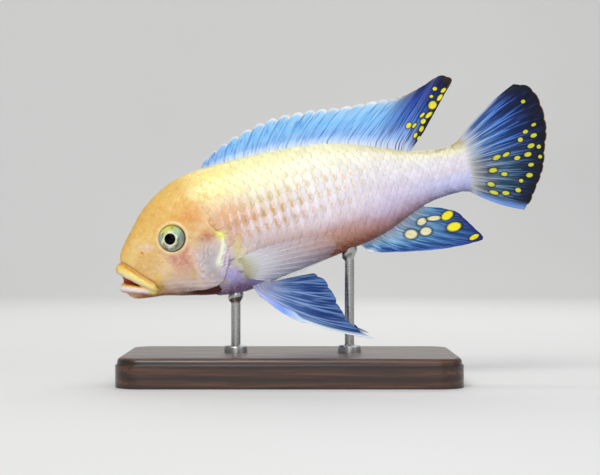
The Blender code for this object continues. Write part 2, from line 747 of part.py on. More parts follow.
def make_rod(name, at, tree):
    """A turned rod: a collar on the base, the shank, and a small pad shaped to the belly."""

    def ring(radius, height):
        turns = [2 * math.pi * k / ROD_SIDES for k in range(ROD_SIDES)]
        around = [(at[0] + radius * math.cos(a), at[1] + radius * math.sin(a)) for a in turns]
        return [Vector((x, y, height)) * MM for x, y in around]

    def under_belly(point, below):
        hit = tree.ray_cast(point, Vector((0.0, 0.0, 1.0)))[0]
        return Vector((point.x, point.y, hit.z - (GAP + below) * MM))

    foot = BASE_HEIGHT + GAP
    rings = [
        ring(COLLAR_RADIUS, foot),
        ring(COLLAR_RADIUS, foot + COLLAR_HEIGHT - COLLAR_BEVEL),
        ring(COLLAR_RADIUS - COLLAR_BEVEL, foot + COLLAR_HEIGHT),
        ring(ROD_RADIUS, foot + COLLAR_HEIGHT),
        [under_belly(p, PAD_HEIGHT + NECK_HEIGHT) for p in ring(ROD_RADIUS, foot)],
        [under_belly(p, PAD_HEIGHT) for p in ring(PAD_RADIUS, foot)],
        [under_belly(p, 0.1) for p in ring(PAD_RADIUS, foot)],
        [under_belly(p, 0.15) for p in ring(0.5 * PAD_RADIUS, foot)],
    ]
    return finish_with(lofted(name, rings), name, steel())


for old in list(bpy.data.objects):
    bpy.data.objects.remove(old)

flesh, body_tree = make_flesh()
finish_head(flesh["head"], body_tree)
for node in flesh:
    skin_finish = head_skin() if node in ("head", "gill_cover_left", "gill_cover_right") else body_skin()
    finish_with(keep_largest(flesh[node]), node, skin_finish)
make_eyes(body_tree)
middle_fin("dorsal_fin", DORSAL, DORSAL_SPINES, dorsal_dip, body_tree, 1, 5, DORSAL_ROOT_HALF, blue_fin())
middle_fin("anal_fin", ANAL, 0, soft_dip, body_tree, -1, 5, ANAL_ROOT_HALF, blue_fin())
make_tail_fin()
make_pectoral("pectoral_fin_left", -1, body_tree)
make_pectoral("pectoral_fin_right", 1, body_tree)
make_pelvic("pelvic_fin_left", -1, body_tree)
make_pelvic("pelvic_fin_right", 1, body_tree)
make_base()
make_rod("stand_rod_front", ROD_AT[0], body_tree)
make_rod("stand_rod_rear", ROD_AT[1], body_tree)
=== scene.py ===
import math

import bmesh
import bpy
import numpy as np
from mathutils import Matrix, Vector
from mathutils.bvhtree import BVHTree


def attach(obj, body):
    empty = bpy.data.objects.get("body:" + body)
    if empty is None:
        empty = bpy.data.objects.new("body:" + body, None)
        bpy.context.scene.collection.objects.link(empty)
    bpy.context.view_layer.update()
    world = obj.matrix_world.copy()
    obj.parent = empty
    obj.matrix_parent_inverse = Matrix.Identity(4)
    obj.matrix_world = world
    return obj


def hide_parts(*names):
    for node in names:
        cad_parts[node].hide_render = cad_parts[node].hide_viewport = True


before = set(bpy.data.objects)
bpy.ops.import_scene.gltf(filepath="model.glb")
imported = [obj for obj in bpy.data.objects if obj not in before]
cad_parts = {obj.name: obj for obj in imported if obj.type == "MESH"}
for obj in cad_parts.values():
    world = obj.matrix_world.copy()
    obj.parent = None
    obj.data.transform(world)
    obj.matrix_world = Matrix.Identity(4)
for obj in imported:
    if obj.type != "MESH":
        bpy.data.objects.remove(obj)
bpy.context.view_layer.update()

# Skin of the head, body and tail stalk, one hide with no seam. On the model it is cast in resin,
# airbrushed golden on the head and cream to lavender behind, and varnished. The head is bare, and
# behind the gill covers the skin lies just under the scales.
MM = 0.001
NOSE_AT = (-48.7, 33.2)
NOSE_DOWN = math.radians(15.0)
SWING_START = 42.0
SWING_AT_TAIL = 3.2
TAIL_BASE = 99.4
STATIONS = (
    ((0.95, -5.4), (0.9, -6.4), (7.9, -10.2), 2.4),  # back of the mouth
    ((0.85, -4.8), (0.8, -7.1), (8.4, -10.5), 3.6),
    ((1.5, -3.2), (1.2, -8.4), (9.2, -10.8), 4.6),  # under the lips
    ((1.75, -1.2), (1.5, -10.1), (10.0, -10.2), 5.3),
    ((2.45, 1.4), (3.0, -11.8), (10.9, -9.0), 5.8),  # snout and chin
    ((5.6, 5.3), (7.2, -12.7), (12.4, -6.8), 6.4),  # nostrils
    ((10.2, 10.3), (11.2, -13.2), (14.8, -4.2), 7.0),
    ((15.7, 14.3), (16.0, -14.5), (18.2, -2.2), 7.5),  # eyes
    ((21.4, 16.8), (21.0, -16.1), (22.6, -1.0), 7.9),
    ((26.3, 17.9), (26.0, -17.1), (27.0, 0.0), 8.3),  # gill covers
    ((31.5, 18.3), (31.5, -17.8), (31.5, 0.4), 8.5),
    ((37.0, 18.4), (37.0, -17.6), (37.0, 0.6), 8.5),
    ((45.0, 18.3), (45.0, -16.4), (45.0, 0.8), 8.1),
    ((55.0, 17.6), (55.0, -15.3), (55.0, 0.9), 7.2),
    ((65.0, 16.1), (65.0, -14.0), (65.0, 0.9), 6.0),  # front of the anal fin
    ((74.0, 13.4), (74.0, -12.4), (74.0, 0.8), 4.8),
    ((81.0, 10.6), (81.0, -9.8), (81.0, 0.5), 3.8),
    ((87.0, 8.2), (87.0, -7.6), (87.0, 0.3), 3.0),
    ((93.0, 6.8), (93.0, -6.7), (93.0, 0.0), 2.4),  # tail stalk
    ((TAIL_BASE, 6.6), (TAIL_BASE, -6.7), (TAIL_BASE, 0.0), 1.7),
)
BACK_POWER = 2.0
BELLY_POWER = 2.15
FRONT_POWER = 1.3
UPPER_LIP = {"front": (1.55, -2.9), "corner": (9.2, -10.2), "radii": (1.6, 1.0), "half_width": 4.55}
LOWER_LIP = {"front": (1.0, -8.1), "corner": (9.0, -11.3), "radii": (1.3, 0.9), "half_width": 4.1}
MOUTH = {"front": (3.0, -5.7), "corner": (8.6, -10.7), "radii": (1.35, 0.3), "half_width": 2.9}
LIP_PAST_CORNER = 1.12
GILL_EDGE = (
    (27.8, 4.2),
    (28.9, 2.3),
    (30.2, 0.4),
    (31.9, -1.4),
    (31.6, -3.4),
    (32.1, -6.5),
    (30.3, -10.4),
    (29.0, -12.6),
    (27.5, -13.9),
    (23.6, -14.5),
    (19.6, -13.9),
)
GILL_TOP = 4.2
BREAST_FIN_AT = (34.2, -11.3)
CREST = ((30.0, 0.6), (31.2, -1.5), (31.1, -3.3), (30.1, -5.4), (28.6, -7.8), (27.3, -10.2))
LIP_CREASE = ((1.2, -0.9), (3.4, -2.3), (7.0, -6.3), (9.6, -8.9), (10.6, -10.8))
JAW_CREASE = ((3.2, -10.6), (6.5, -11.7), (9.8, -12.0), (11.6, -11.2))
PREOPERCLE = ((24.6, 3.5), (22.6, 0.6), (21.8, -2.3), (21.9, -6.2), (22.8, -9.6), (25.1, -11.7))
EYE = (17.7, 1.5)
NOSTRIL = (8.5, -0.4)
VOXEL = 0.25
UNDER_SCALES = 0.15
INSIDE_LIPS = (1.0, 0.0, -5.8)


def swing(s):
    """How far the body's middle has moved to the right at s, as the tail swings aside."""
    return SWING_AT_TAIL * (np.maximum(0.0, s - SWING_START) / (TAIL_BASE - SWING_START)) ** 2


def place(s, y, h):
    """Points of the fish, s back from its nose, y right and h up, as they stand over the base, in mm."""
    s, y, h = np.broadcast_arrays(*(np.asarray(a, float) for a in (s, y, h)))
    x = NOSE_AT[0] + s * math.cos(NOSE_DOWN) - h * math.sin(NOSE_DOWN)
    z = NOSE_AT[1] + s * math.sin(NOSE_DOWN) + h * math.cos(NOSE_DOWN)
    return np.stack([x, y + swing(s), z], -1)


def unplace(points):
    """The fish's own (s, y, h) of points over the base."""
    x, y, z = np.asarray(points).T
    x, z = x - NOSE_AT[0], z - NOSE_AT[1]
    s = x * math.cos(NOSE_DOWN) + z * math.sin(NOSE_DOWN)
    return s, y - swing(s), z * math.cos(NOSE_DOWN) - x * math.sin(NOSE_DOWN)


def smooth(keys, x):
    """Rows of values at each x, on the smooth curve through keys, which are rows of (x, value, ...)."""
    keys = np.array(keys, float)
    at, values, last = keys[:, 0], keys[:, 1:], len(keys) - 1
    before, after = np.maximum(np.arange(last + 1) - 1, 0), np.minimum(np.arange(last + 1) + 1, last)
    slope = (values[after] - values[before]) / (at[after] - at[before])[:, None]
    x = np.asarray(x, float)
    i = np.clip(np.searchsorted(at, x, "right") - 1, 0, last - 1)
    span = at[i + 1] - at[i]
    f, span = ((x - at[i]) / span)[..., None], span[..., None]
    a, b, into, out = values[i], values[i + 1], slope[i] * span, slope[i + 1] * span
    return a + f * (into + f * (3 * (b - a) - 2 * into - out + f * (2 * (a - b) + into + out)))


station_keys = []
for station in STATIONS:
    crown, keel, side, half_width = station
    run = 0.0
    if station_keys:
        run = station_keys[-1][0]
        run += (math.dist(crown, station_keys[-1][1:3]) + math.dist(keel, station_keys[-1][3:5])) / 2
    station_keys.append((run, *crown, *keel, *side, half_width))
BODY_RUN = station_keys[-1][0]


def body_surface(run, turn):
    """(s, y, h) of the skin at a distance along the body and an angle round it: 0 back, pi belly."""
    run, turn = np.broadcast_arrays(np.asarray(run, float), np.asarray(turn, float))
    crown_s, crown_h, keel_s, keel_h, side_s, side_h, width = np.moveaxis(smooth(station_keys, run), -1, 0)
    c, n = np.cos(turn), np.sin(turn)
    up = c > 0
    power = np.where(up, BACK_POWER, BELLY_POWER)
    s = side_s + (np.where(up, crown_s, keel_s) - side_s) * np.abs(c) ** FRONT_POWER
    h = side_h + (np.where(up, crown_h, keel_h) - side_h) * np.abs(c) ** (2 / power)
    return s, np.copysign(width * np.abs(n) ** (2 / power), n), h


def piece(name, points, faces, smooth_shade=True, unit=MM):
    """A mesh object from points in mm, with its faces turned to point out."""
    mesh = bpy.data.meshes.new(name)
    mesh.from_pydata((np.asarray(points) * unit).tolist(), [], [list(map(int, f)) for f in faces])
    work = bmesh.new()
    work.from_mesh(mesh)
    bmesh.ops.recalc_face_normals(work, faces=work.faces)
    if work.calc_volume(signed=True) < 0:
        bmesh.ops.reverse_faces(work, faces=work.faces)
    work.to_mesh(mesh)
    work.free()
    if smooth_shade:
        mesh.shade_smooth()
    made = bpy.data.objects.new(name, mesh)
    bpy.context.scene.collection.objects.link(made)
    return made


def grid_faces(rows, columns, closed=False):
    """Quads of a grid of points, row by row, joined round its columns if closed."""
    r, c = np.meshgrid(np.arange(rows - 1), np.arange(columns if closed else columns - 1), indexing="ij")
    a, b = r * columns + c, r * columns + (c + 1) % columns
    return np.stack([a, b, b + columns, a + columns], -1).reshape(-1, 4)


def lofted(name, rings, unit=MM, tip=None):
    """A closed piece through rings of points, an array of (ring, point, xyz), with fans as ends."""
    count, sides = rings.shape[:2]
    points = np.vstack([rings.reshape(-1, 3), rings[0].mean(0) if tip is None else tip, rings[-1].mean(0)])
    faces = [list(f) for f in grid_faces(count, sides, closed=True)]
    for first, centre in ((0, count * sides), ((count - 1) * sides, count * sides + 1)):
        faces += [[first + k, first + (k + 1) % sides, centre] for k in range(sides)]
    return piece(name, points, faces, unit=unit)


def lip_path(shape, share):
    """Middle line (s, y, h) and radius of a lip at a share of its way from the front to the corner."""
    (front_s, front_h), (corner_s, corner_h) = shape["front"], shape["corner"]
    front_radius, corner_radius = shape["radii"]
    turn = share * math.pi / 2
    back = 1 - np.cos(turn)
    sunk = np.maximum(0.0, np.abs(share) - 1) / (LIP_PAST_CORNER - 1)
    s = front_s + (corner_s - front_s) * back
    y = shape["half_width"] * np.sin(turn) * (1 - 0.2 * sunk)
    h = front_h + (corner_h - front_h) * back
    radius = corner_radius + (front_radius - corner_radius) * np.maximum(0.0, np.cos(turn))
    radius = radius * (1 - 0.45 * sunk)
    return np.stack([s, y, h], -1), radius


def lip_roll(name, shape, flatten=1.0):
    """One lip, or the hollow between both, as a tapered roll round the front of the mouth."""
    share = np.linspace(-LIP_PAST_CORNER, LIP_PAST_CORNER, 81)
    path, radius = lip_path(shape, share)
    ahead = np.gradient(path, axis=0)
    ahead /= np.linalg.norm(ahead, axis=1)[:, None]
    first = np.cross(ahead, np.array((0.35, 0.0, 1.0)) / math.hypot(0.35, 1.0))
    first /= np.linalg.norm(first, axis=1)[:, None]
    second = np.cross(ahead, first)
    turns = np.linspace(0, 2 * math.pi, 28, endpoint=False)[None, :, None]
    rolled = first[:, None] * np.cos(turns) + flatten * second[:, None] * np.sin(turns)
    rings = path[:, None] + radius[:, None, None] * rolled
    return lofted(name, place(*np.moveaxis(rings, -1, 0)), unit=1.0)


def applied(target):
    """Replaces an object's mesh by the result of its modifiers."""
    bpy.context.view_layer.update()
    result = bpy.data.meshes.new_from_object(target.evaluated_get(bpy.context.evaluated_depsgraph_get()))
    target.modifiers.clear()
    target.data = result
    return target


def joined(target, others):
    """Adds the meshes of others to target and removes them."""
    work = bmesh.new()
    for part in (target, *others):
        work.from_mesh(part.data)
    work.to_mesh(target.data)
    work.free()
    for other in others:
        bpy.data.objects.remove(other)
    return target


def make_skin():
    """The body with its lips, welded to one hide, and split finer on the head."""
    run = np.linspace(0.0, BODY_RUN, 240)[:, None]
    turn = np.linspace(0, 2 * math.pi, 128, endpoint=False)[None, :]
    skin = lofted("fish_skin", place(*body_surface(run, turn)), unit=1.0, tip=place(*INSIDE_LIPS))
    joined(skin, [lip_roll("upper_lip", UPPER_LIP), lip_roll("lower_lip", LOWER_LIP)])
    weld = skin.modifiers.new("one hide", "REMESH")
    weld.mode = "VOXEL"
    weld.voxel_size = VOXEL
    applied(skin)
    work = bmesh.new()
    work.from_mesh(skin.data)
    s, _, _ = unplace(mesh_points(skin))
    fine = [edge for edge in work.edges if s[edge.verts[0].index] < 34.0 and s[edge.verts[1].index] < 34.0]
    bmesh.ops.subdivide_edges(work, edges=fine, cuts=1, use_grid_fill=True)
    work.to_mesh(skin.data)
    work.free()
    soften = skin.modifiers.new("soften", "SMOOTH")
    soften.factor = 0.5
    soften.iterations = 8
    return applied(skin)


def eased(x, start, end):
    """0 before start and 1 after end, or the other way round, with a soft passage between."""
    f = np.clip((x - start) / (end - start), 0.0, 1.0)
    return f * f * (3 - 2 * f)


def curve_through(points, steps):
    points = [(i, *p) for i, p in enumerate(points)]
    return smooth(points, np.linspace(0, len(points) - 1, steps + 1))


def beside(line, s, h):
    """Distance from a line of (s, h), positive on its left, and the share of the line passed."""
    starts, ends = line[:-1], line[1:]
    along = ends - starts
    lengths = np.linalg.norm(along, axis=1)
    passed = np.concatenate([[0.0], np.cumsum(lengths)])
    best = np.full(len(s), 1e9)
    sign, share = np.ones(len(s)), np.zeros(len(s))
    for start, step, length, before in zip(starts, along, lengths, passed):
        ds, dh = s - start[0], h - start[1]
        f = np.clip((ds * step[0] + dh * step[1]) / length**2, 0, 1)
        away = np.hypot(ds - f * step[0], dh - f * step[1])
        nearer = away < best
        best = np.where(nearer, away, best)
        sign = np.where(nearer, np.where(step[0] * dh - step[1] * ds >= 0, 1.0, -1.0), sign)
        share = np.where(nearer, (before + f * length) / passed[-1], share)
    return best * sign, share


def hump(x, width):
    """1 where x is 0, falling softly to 0 on both sides."""
    return np.exp(-((x / width) ** 2))


def behind_nape(s, h):
    """How far s lies behind the line over the nape, from the gill cover's top, where the scales start."""
    return s - np.interp(h, (GILL_TOP, 18.0), (27.5, 23.0))


def bump_at(s, h, at, size, height):
    """A soft swelling, or a dent if height is below 0, over an oval of (s, h)."""
    return height * np.exp(-(((s - at[0]) / size[0]) ** 2) - ((h - at[1]) / size[1]) ** 2)


def lumps(points, size, seed):
    """A soft unevenness, about -1 to 1, with swellings about size across."""
    rng = np.random.default_rng(seed)
    ways = rng.normal(size=(7, 3))
    ways *= 2 * math.pi / size / np.linalg.norm(ways, axis=1)[:, None] * rng.uniform(0.7, 1.3, (7, 1))
    return np.sin(points @ ways.T + rng.uniform(0, 6.28, 7)).sum(1) / 3.0


gill_line = curve_through(GILL_EDGE, 80)
preopercle_line = curve_through(PREOPERCLE, 40)
crest_line = curve_through(CREST, 30)
lip_crease = curve_through(LIP_CREASE, 24)
jaw_crease = curve_through(JAW_CREASE, 16)
PORES = ((13.4, 3.3), (12.6, 0.9), (13.0, -1.6), (14.4, -3.6), (16.6, -4.9), (19.2, -4.9), (21.4, -3.6))
PORES += ((22.6, 0.0), (22.9, -3.2), (22.9, -6.6), (23.8, -9.6))
PORES += ((12.2, -11.6), (15.2, -12.6), (18.6, -13.3))


def head_relief(s, y, h):
    """How far the skin of the head stands out, and masks of its parts for the paint."""
    points = np.stack([s, y, h], -1)
    # bare skin before the nape and the gill cover's edge, sunk under the scales behind them
    behind, share = beside(gill_line, s, h)
    bare = np.where(h > GILL_TOP, eased(behind_nape(s, h) / 2.5, 1.0, 0.0), eased(behind, 0.3, -0.1))
    rise = -UNDER_SCALES * (1 - bare) - 0.03 * bare
    rise += bare * (0.05 * lumps(points, 3.4, 1) + 0.025 * lumps(points, 1.5, 2))
    # the gill cover's edge stands over the slit behind it; the slit and the throat under the cover's lower
    # edge get painted shadow
    top = eased(share, 0.0, 0.1) * eased(share, 1.0, 0.93)
    step = eased(behind, 0.05, -0.4)
    rise += step * 0.42 * top * np.exp(-np.clip(-behind, 0, None) / 3.0)
    rise -= (1 - step) * 0.4 * top * np.exp(-np.clip(behind, 0, None) / 0.6)
    # where the slit behind the edge gets a painted shadow line
    slit_shadow = hump(behind - 0.15, 0.42) * top * eased(share, 0.3, 0.6)
    # the strip of the throat under the gill cover's lower edge, sunk, and painted dark red as painted shadow
    # on the throat's own red
    throat_shadow = eased(behind, -0.1, 0.2) * eased(h, -11.5, -13.2) * eased(s, 15.5, 20.0)
    throat_shadow *= eased(s - 1.9 * (h + 16.9), 26.4, 24.6)
    rise -= 0.35 * throat_shadow
    # the edge of the cheek
    edge, along = beside(preopercle_line, s, h)
    there = eased(along, 0.0, 0.2) * eased(along, 1.0, 0.85)
    rise += there * (0.08 * hump(edge + 0.5, 0.6) - 0.12 * hump(edge - 0.25, 0.4))
    # the raised strip before the gill cover's edge, a fold with painted shade in its groove, and a creased
    # flap behind it
    crest, along = beside(crest_line, s, h)
    there = eased(along, 0.0, 0.15) * eased(along, 1.0, 0.8)
    before_edge = eased(behind, 0.1, -0.3)
    ridge = hump(crest + 0.22 * lumps(points, 2.6, 3), 0.72 + 0.25 * along) * there
    fold_shade = hump(crest - 1.35 + 0.2 * lumps(points, 2.2, 7), 0.3) * there * before_edge
    flap = eased(crest, -0.1, 0.7) * there * before_edge
    rise += 0.18 * ridge - 0.1 * flap - 0.1 * there * hump(crest + 1.5, 0.7) - 0.07 * fold_shade
    creased = (h - 0.4 * s + 0.5 * lumps(points, 3.0, 9)) * 2 * math.pi / 1.3
    rise += flap * 0.06 * np.cos(creased)
    # the middle of the gill cover, full and faintly grooved
    rise += bump_at(s, h, (27.0, -6.0), (3.6, 5.5), 0.14)
    plate = eased(h, -1.6, -3.4) * eased(h, -13.4, -11.0) * eased(edge, 0.3, 1.2)
    plate = plate * eased(crest, -0.4, -1.2) * bare
    grooves = np.sin((crest + 0.45 * lumps(points, 4.0, 4)) * 2 * math.pi / 1.3)
    grooves = eased(grooves, 0.2, 0.95) * eased(lumps(points, 2.6, 8), -0.5, 0.4) * plate
    rise -= 0.045 * grooves
    # the full cheek, and faint folds under it
    rise += bump_at(s, h, (18.2, -7.6), (4.0, 3.2), 0.2)
    folds = np.cos((h + 0.25 * s) * 2 * math.pi / 1.5)
    rise += 0.02 * folds * eased(h, -11.8, -13.4) * eased(s, 15.0, 19.0) * bare
    # the creases over the upper lip and under the jaw; the one over the lip also gets painted shade
    crease, _ = beside(lip_crease, s, h)
    crease = hump(crease, 0.42) * eased(s, 0.8, 2.2)
    rise -= 0.25 * crease
    jaw, _ = beside(jaw_crease, s, h)
    rise -= 0.2 * hump(jaw, 0.4)
    # the rim and the socket of the eye, and the bag under it
    eye = np.hypot(s - EYE[0], h - EYE[1])
    rise += 0.15 * hump(eye - 4.15, 0.36) - 0.05 * hump(eye - 5.3, 0.6)
    rise -= 1.5 * eased(eye, 3.85, 3.5)
    eyelid = eased(eye, 4.9, 4.3)
    under = np.arctan2(h - EYE[1], s - EYE[0])
    rise -= 0.07 * hump(eye - 5.9, 0.22) * eased(under, -0.1, -0.5) * eased(under, -2.3, -1.8)
    # the nostril in its rim, the pores, and the swelling at the breast fin's root
    nostril = np.hypot(s - NOSTRIL[0], h - NOSTRIL[1])
    rise += 0.16 * hump(nostril - 0.7, 0.28) - 0.45 * hump(nostril, 0.4)
    for pore in PORES:
        rise += bump_at(s, h, pore, (0.3, 0.3), -0.16)
    rise += bump_at(s, h, BREAST_FIN_AT, (1.5, 3.0), 0.3)
    masks = {"eyelid": eyelid, "crest": ridge, "flap": flap, "fold_shade": fold_shade, "slit_shadow": slit_shadow, "throat_shadow": throat_shadow}
    return rise, {**masks, "grooves": grooves, "crease": crease}


def set_masks(target, **masks):
    """Keeps numbers per mesh point under names that a material can read."""
    for name, values in masks.items():
        kept = target.data.attributes.new(name, "FLOAT", "POINT")
        kept.data.foreach_set("value", np.asarray(values, np.float32))


def mesh_points(target):
    points = np.zeros(len(target.data.vertices) * 3, np.float32)
    target.data.vertices.foreach_get("co", points)
    return points.reshape(-1, 3).astype(float)


def lip_mask(shape, points):
    """1 on a lip's roll, 0 away from it, and how high on the roll: 1 at its top, -1 at its bottom."""
    path, radius = lip_path(shape, np.linspace(-1.0, 1.0, 81))
    away, high = np.full(len(points), 9.0), np.zeros(len(points))
    up = np.array((0.45, 0.0, 1.0)) / math.hypot(0.45, 1.0)
    for centre, reach in zip(path, radius):
        here = np.linalg.norm(points - centre, axis=1) / reach
        high = np.where(here < away, (points - centre) @ up / reach, high)
        away = np.minimum(away, here)
    return eased(away, 1.25, 0.98), np.clip(high, -1.0, 1.0)


def shape_skin(skin):
    """Works the folds of the head into the skin and sinks it under the scales behind them."""
    s, y, h = unplace(mesh_points(skin))
    normals = np.zeros(len(s) * 3, np.float32)
    skin.data.vertex_normals.foreach_get("vector", normals)
    rise, masks = head_relief(s, y, h)
    points = np.stack([s, y, h], -1)
    front = s < 14.0
    upper, lower, mouth, high = (np.zeros(len(s)) for _ in range(4))
    upper[front], high_upper = lip_mask(UPPER_LIP, points[front])
    lower[front], high_lower = lip_mask(LOWER_LIP, points[front])
    high[front] = np.where(upper[front] >= lower[front], high_upper, high_lower)
    deep = {**MOUTH, "front": (1.6, -5.7), "radii": (1.9, 0.6), "half_width": 3.4}
    mouth[front] = lip_mask(deep, points[front])[0] * (1 - np.maximum(upper, lower)[front])
    lips = np.maximum(upper, lower)
    on_lips = 0.05 * lumps(points, 2.6, 5) + 0.02 * lumps(points, 1.1, 6)
    rise = rise * (1 - np.maximum(lips, mouth)) + lips * on_lips
    rise -= mouth * 0.35
    moved = mesh_points(skin) + normals.reshape(-1, 3) * rise[:, None]
    skin.data.vertices.foreach_set("co", (moved * MM).ravel())
    skin.data.update()
    masks["crease"] *= 1 - lips
    set_masks(skin, upper_lip=upper, lower_lip=lower, lip_height=high, mouth=mouth, **masks)
    return skin


skin = shape_skin(make_skin())
skin.data.shade_smooth()


def put(tree, kind, *values, out=0, **settings):
    """Adds a shader node, sets or links its inputs in their order, and gives its output."""
    made = tree.nodes.new("ShaderNode" + kind)
    for key, value in settings.items():
        setattr(made, key, value)
    for socket, value in zip(made.inputs, values):
        fill(tree, socket, value)
    return made.outputs[out]


def fill(tree, socket, value):
    if isinstance(value, bpy.types.NodeSocket):
        tree.links.new(value, socket)
    elif value is not None:
        socket.default_value = value


def math_of(tree, operation, *values, clamp=False):
    return put(tree, "Math", *values, operation=operation, use_clamp=clamp)


def times(tree, product, *factors):
    for factor in factors:
        product = math_of(tree, "MULTIPLY", product, factor)
    return product


def ramped(tree, value, start, end, low=0.0, high=1.0):
    """value from start to end taken softly to low and high."""
    return put(tree, "MapRange", value, start, end, low, high, interpolation_type="SMOOTHSTEP")


def mixed(tree, factor, first, second, blend="MIX"):
    made = tree.nodes.new("ShaderNodeMix")
    made.data_type = "RGBA"
    made.blend_type = blend
    for index, value in ((0, factor), (6, first), (7, second)):
        fill(tree, made.inputs[index], value)
    return made.outputs[2]


def rgb(red, green, blue):
    """A paint colour given as on a screen, 0 to 255, as the linear colour that a shader takes."""
    linear = [((c / 255 + 0.055) / 1.055) ** 2.4 if c > 10 else c / 255 / 12.92 for c in (red, green, blue)]
    return (*linear, 1.0)


def group_of(name, inputs, outputs):
    """An empty shader node group with named inputs (name, kind, value) and outputs (name, kind)."""
    group = bpy.data.node_groups.new(name, "ShaderNodeTree")
    for label, kind, value in inputs:
        socket = group.interface.new_socket(label, in_out="INPUT", socket_type="NodeSocket" + kind)
        if value is not None:
            socket.default_value = value
    for label, kind in outputs:
        group.interface.new_socket(label, in_out="OUTPUT", socket_type="NodeSocket" + kind)
    return group, group.nodes.new("NodeGroupInput").outputs, group.nodes.new("NodeGroupOutput").inputs


def use(tree, group, **values):
    """Places a node group, with its inputs by their names, and gives its outputs."""
    made = tree.nodes.new("ShaderNodeGroup")
    made.node_tree = group
    for label, value in values.items():
        fill(tree, made.inputs[label.replace("_", " ")], value)
    return made.outputs


def ramp(tree, value, stops):
    """Colours along a value, from stops of (place, colour)."""
    made = tree.nodes.new("ShaderNodeValToRGB")
    fill(tree, made.inputs[0], value)
    elements = made.color_ramp.elements
    while len(elements) < len(stops):
        elements.new(0.5)
    for element, (at, colour) in zip(elements, stops):
        element.position = at
        element.color = colour
    return made.outputs[0]


def shades(tree, value, *stops):
    """Paints along a value, from stops of (place, red, green, blue)."""
    return ramp(tree, value, [(at, rgb(*paint)) for at, *paint in stops])


def noise(tree, place, scale, detail=2.0, out=0):
    return put(tree, "TexNoise", place, None, scale, detail, out=out)


def make_fish_place():
    """Where a point is on the fish, in the fish's own millimetres: s and h, and both as a vector."""
    group, _, given = group_of("fish place", (), (("Place", "Vector"), ("S", "Float"), ("H", "Float")))
    spot = put(group, "TexCoord", out=3)
    offset = put(group, "VectorMath", spot, (NOSE_AT[0] * MM, 0.0, NOSE_AT[1] * MM), operation="SUBTRACT")
    turned = put(group, "VectorRotate", offset, (0, 0, 0), (0, 1, 0), NOSE_DOWN, rotation_type="AXIS_ANGLE")
    made = put(group, "VectorMath", turned, operation="SCALE")
    made.node.inputs["Scale"].default_value = 1 / MM
    parts = group.nodes.new("ShaderNodeSeparateXYZ")
    group.links.new(made, parts.inputs[0])
    place_of = put(group, "CombineXYZ", parts.outputs[0], parts.outputs[2], parts.outputs[1])
    for socket, value in zip(given, (place_of, parts.outputs[0], parts.outputs[2])):
        group.links.new(value, socket)
    return group


def make_blotch():
    """The mask of a soft oval patch at a place, turned, 1 inside and 0 outside."""
    inputs = (("Place", "Vector", None), ("At", "Vector", None), ("Size", "Vector", None))
    inputs += (("Turn", "Float", 0.0), ("Soft", "Float", 0.5))
    group, given, outputs = group_of("blotch", inputs, (("Mask", "Float"),))
    offset = put(group, "VectorMath", given["Place"], given["At"], operation="SUBTRACT")
    offset = put(group, "VectorMath", offset, (1, 1, 0), operation="MULTIPLY")
    angle = times(group, given["Turn"], -math.pi / 180)
    turned = put(group, "VectorRotate", offset, (0, 0, 0), (0, 0, 1), angle, rotation_type="AXIS_ANGLE")
    sized = put(group, "VectorMath", turned, given["Size"], operation="DIVIDE")
    reach = put(group, "VectorMath", sized, operation="LENGTH", out=1)
    outer = math_of(group, "ADD", 1.0, given["Soft"])
    inner = math_of(group, "SUBTRACT", 1.0, given["Soft"])
    group.links.new(ramped(group, reach, outer, inner), outputs["Mask"])
    return group


# Colours at places from the nose to the tail: share of the way from belly to back, red, green, blue
# The darkest stops at share 0, the belly's edge, are partly the fish's own colour and partly painted shade.
SIDE_COLOURS = (
    (8.0, ((0.0, 180, 96, 42), (0.14, 246, 194, 122), (0.32, 226, 178, 96), (0.5, 226, 182, 104),
           (0.66, 236, 204, 122), (0.84, 236, 196, 104), (1.0, 226, 176, 78))),
    (21.0, ((0.0, 104, 44, 38), (0.1, 236, 216, 216), (0.22, 230, 208, 194), (0.36, 226, 188, 150),
           (0.52, 226, 192, 130), (0.68, 230, 182, 92), (0.86, 230, 190, 98), (1.0, 230, 188, 88))),
    (32.0, ((0.0, 150, 142, 192), (0.12, 190, 182, 206), (0.28, 204, 192, 196), (0.42, 222, 198, 182),
           (0.56, 238, 196, 152), (0.68, 244, 224, 178), (0.8, 250, 236, 152), (1.0, 250, 236, 150))),
    (45.0, ((0.0, 144, 134, 166), (0.14, 190, 176, 186), (0.26, 204, 178, 172), (0.4, 230, 210, 216),
           (0.56, 238, 216, 198), (0.7, 248, 240, 206), (0.84, 252, 246, 182), (1.0, 252, 246, 186))),
    (62.0, ((0.0, 104, 52, 44), (0.1, 150, 102, 92), (0.22, 198, 160, 162), (0.34, 232, 218, 228),
           (0.5, 240, 232, 238), (0.7, 246, 242, 230), (0.84, 252, 250, 226), (1.0, 252, 248, 196))),
    (80.0, ((0.0, 120, 74, 70), (0.12, 176, 148, 174), (0.26, 206, 196, 226), (0.42, 224, 216, 238),
           (0.6, 236, 232, 244), (0.78, 244, 242, 238), (0.9, 248, 246, 222), (1.0, 226, 210, 152))),
    (96.0, ((0.0, 92, 98, 144), (0.14, 176, 178, 224), (0.3, 206, 208, 248), (0.5, 230, 222, 238),
           (0.72, 236, 234, 240), (0.88, 238, 236, 200), (1.0, 164, 148, 100))),
)
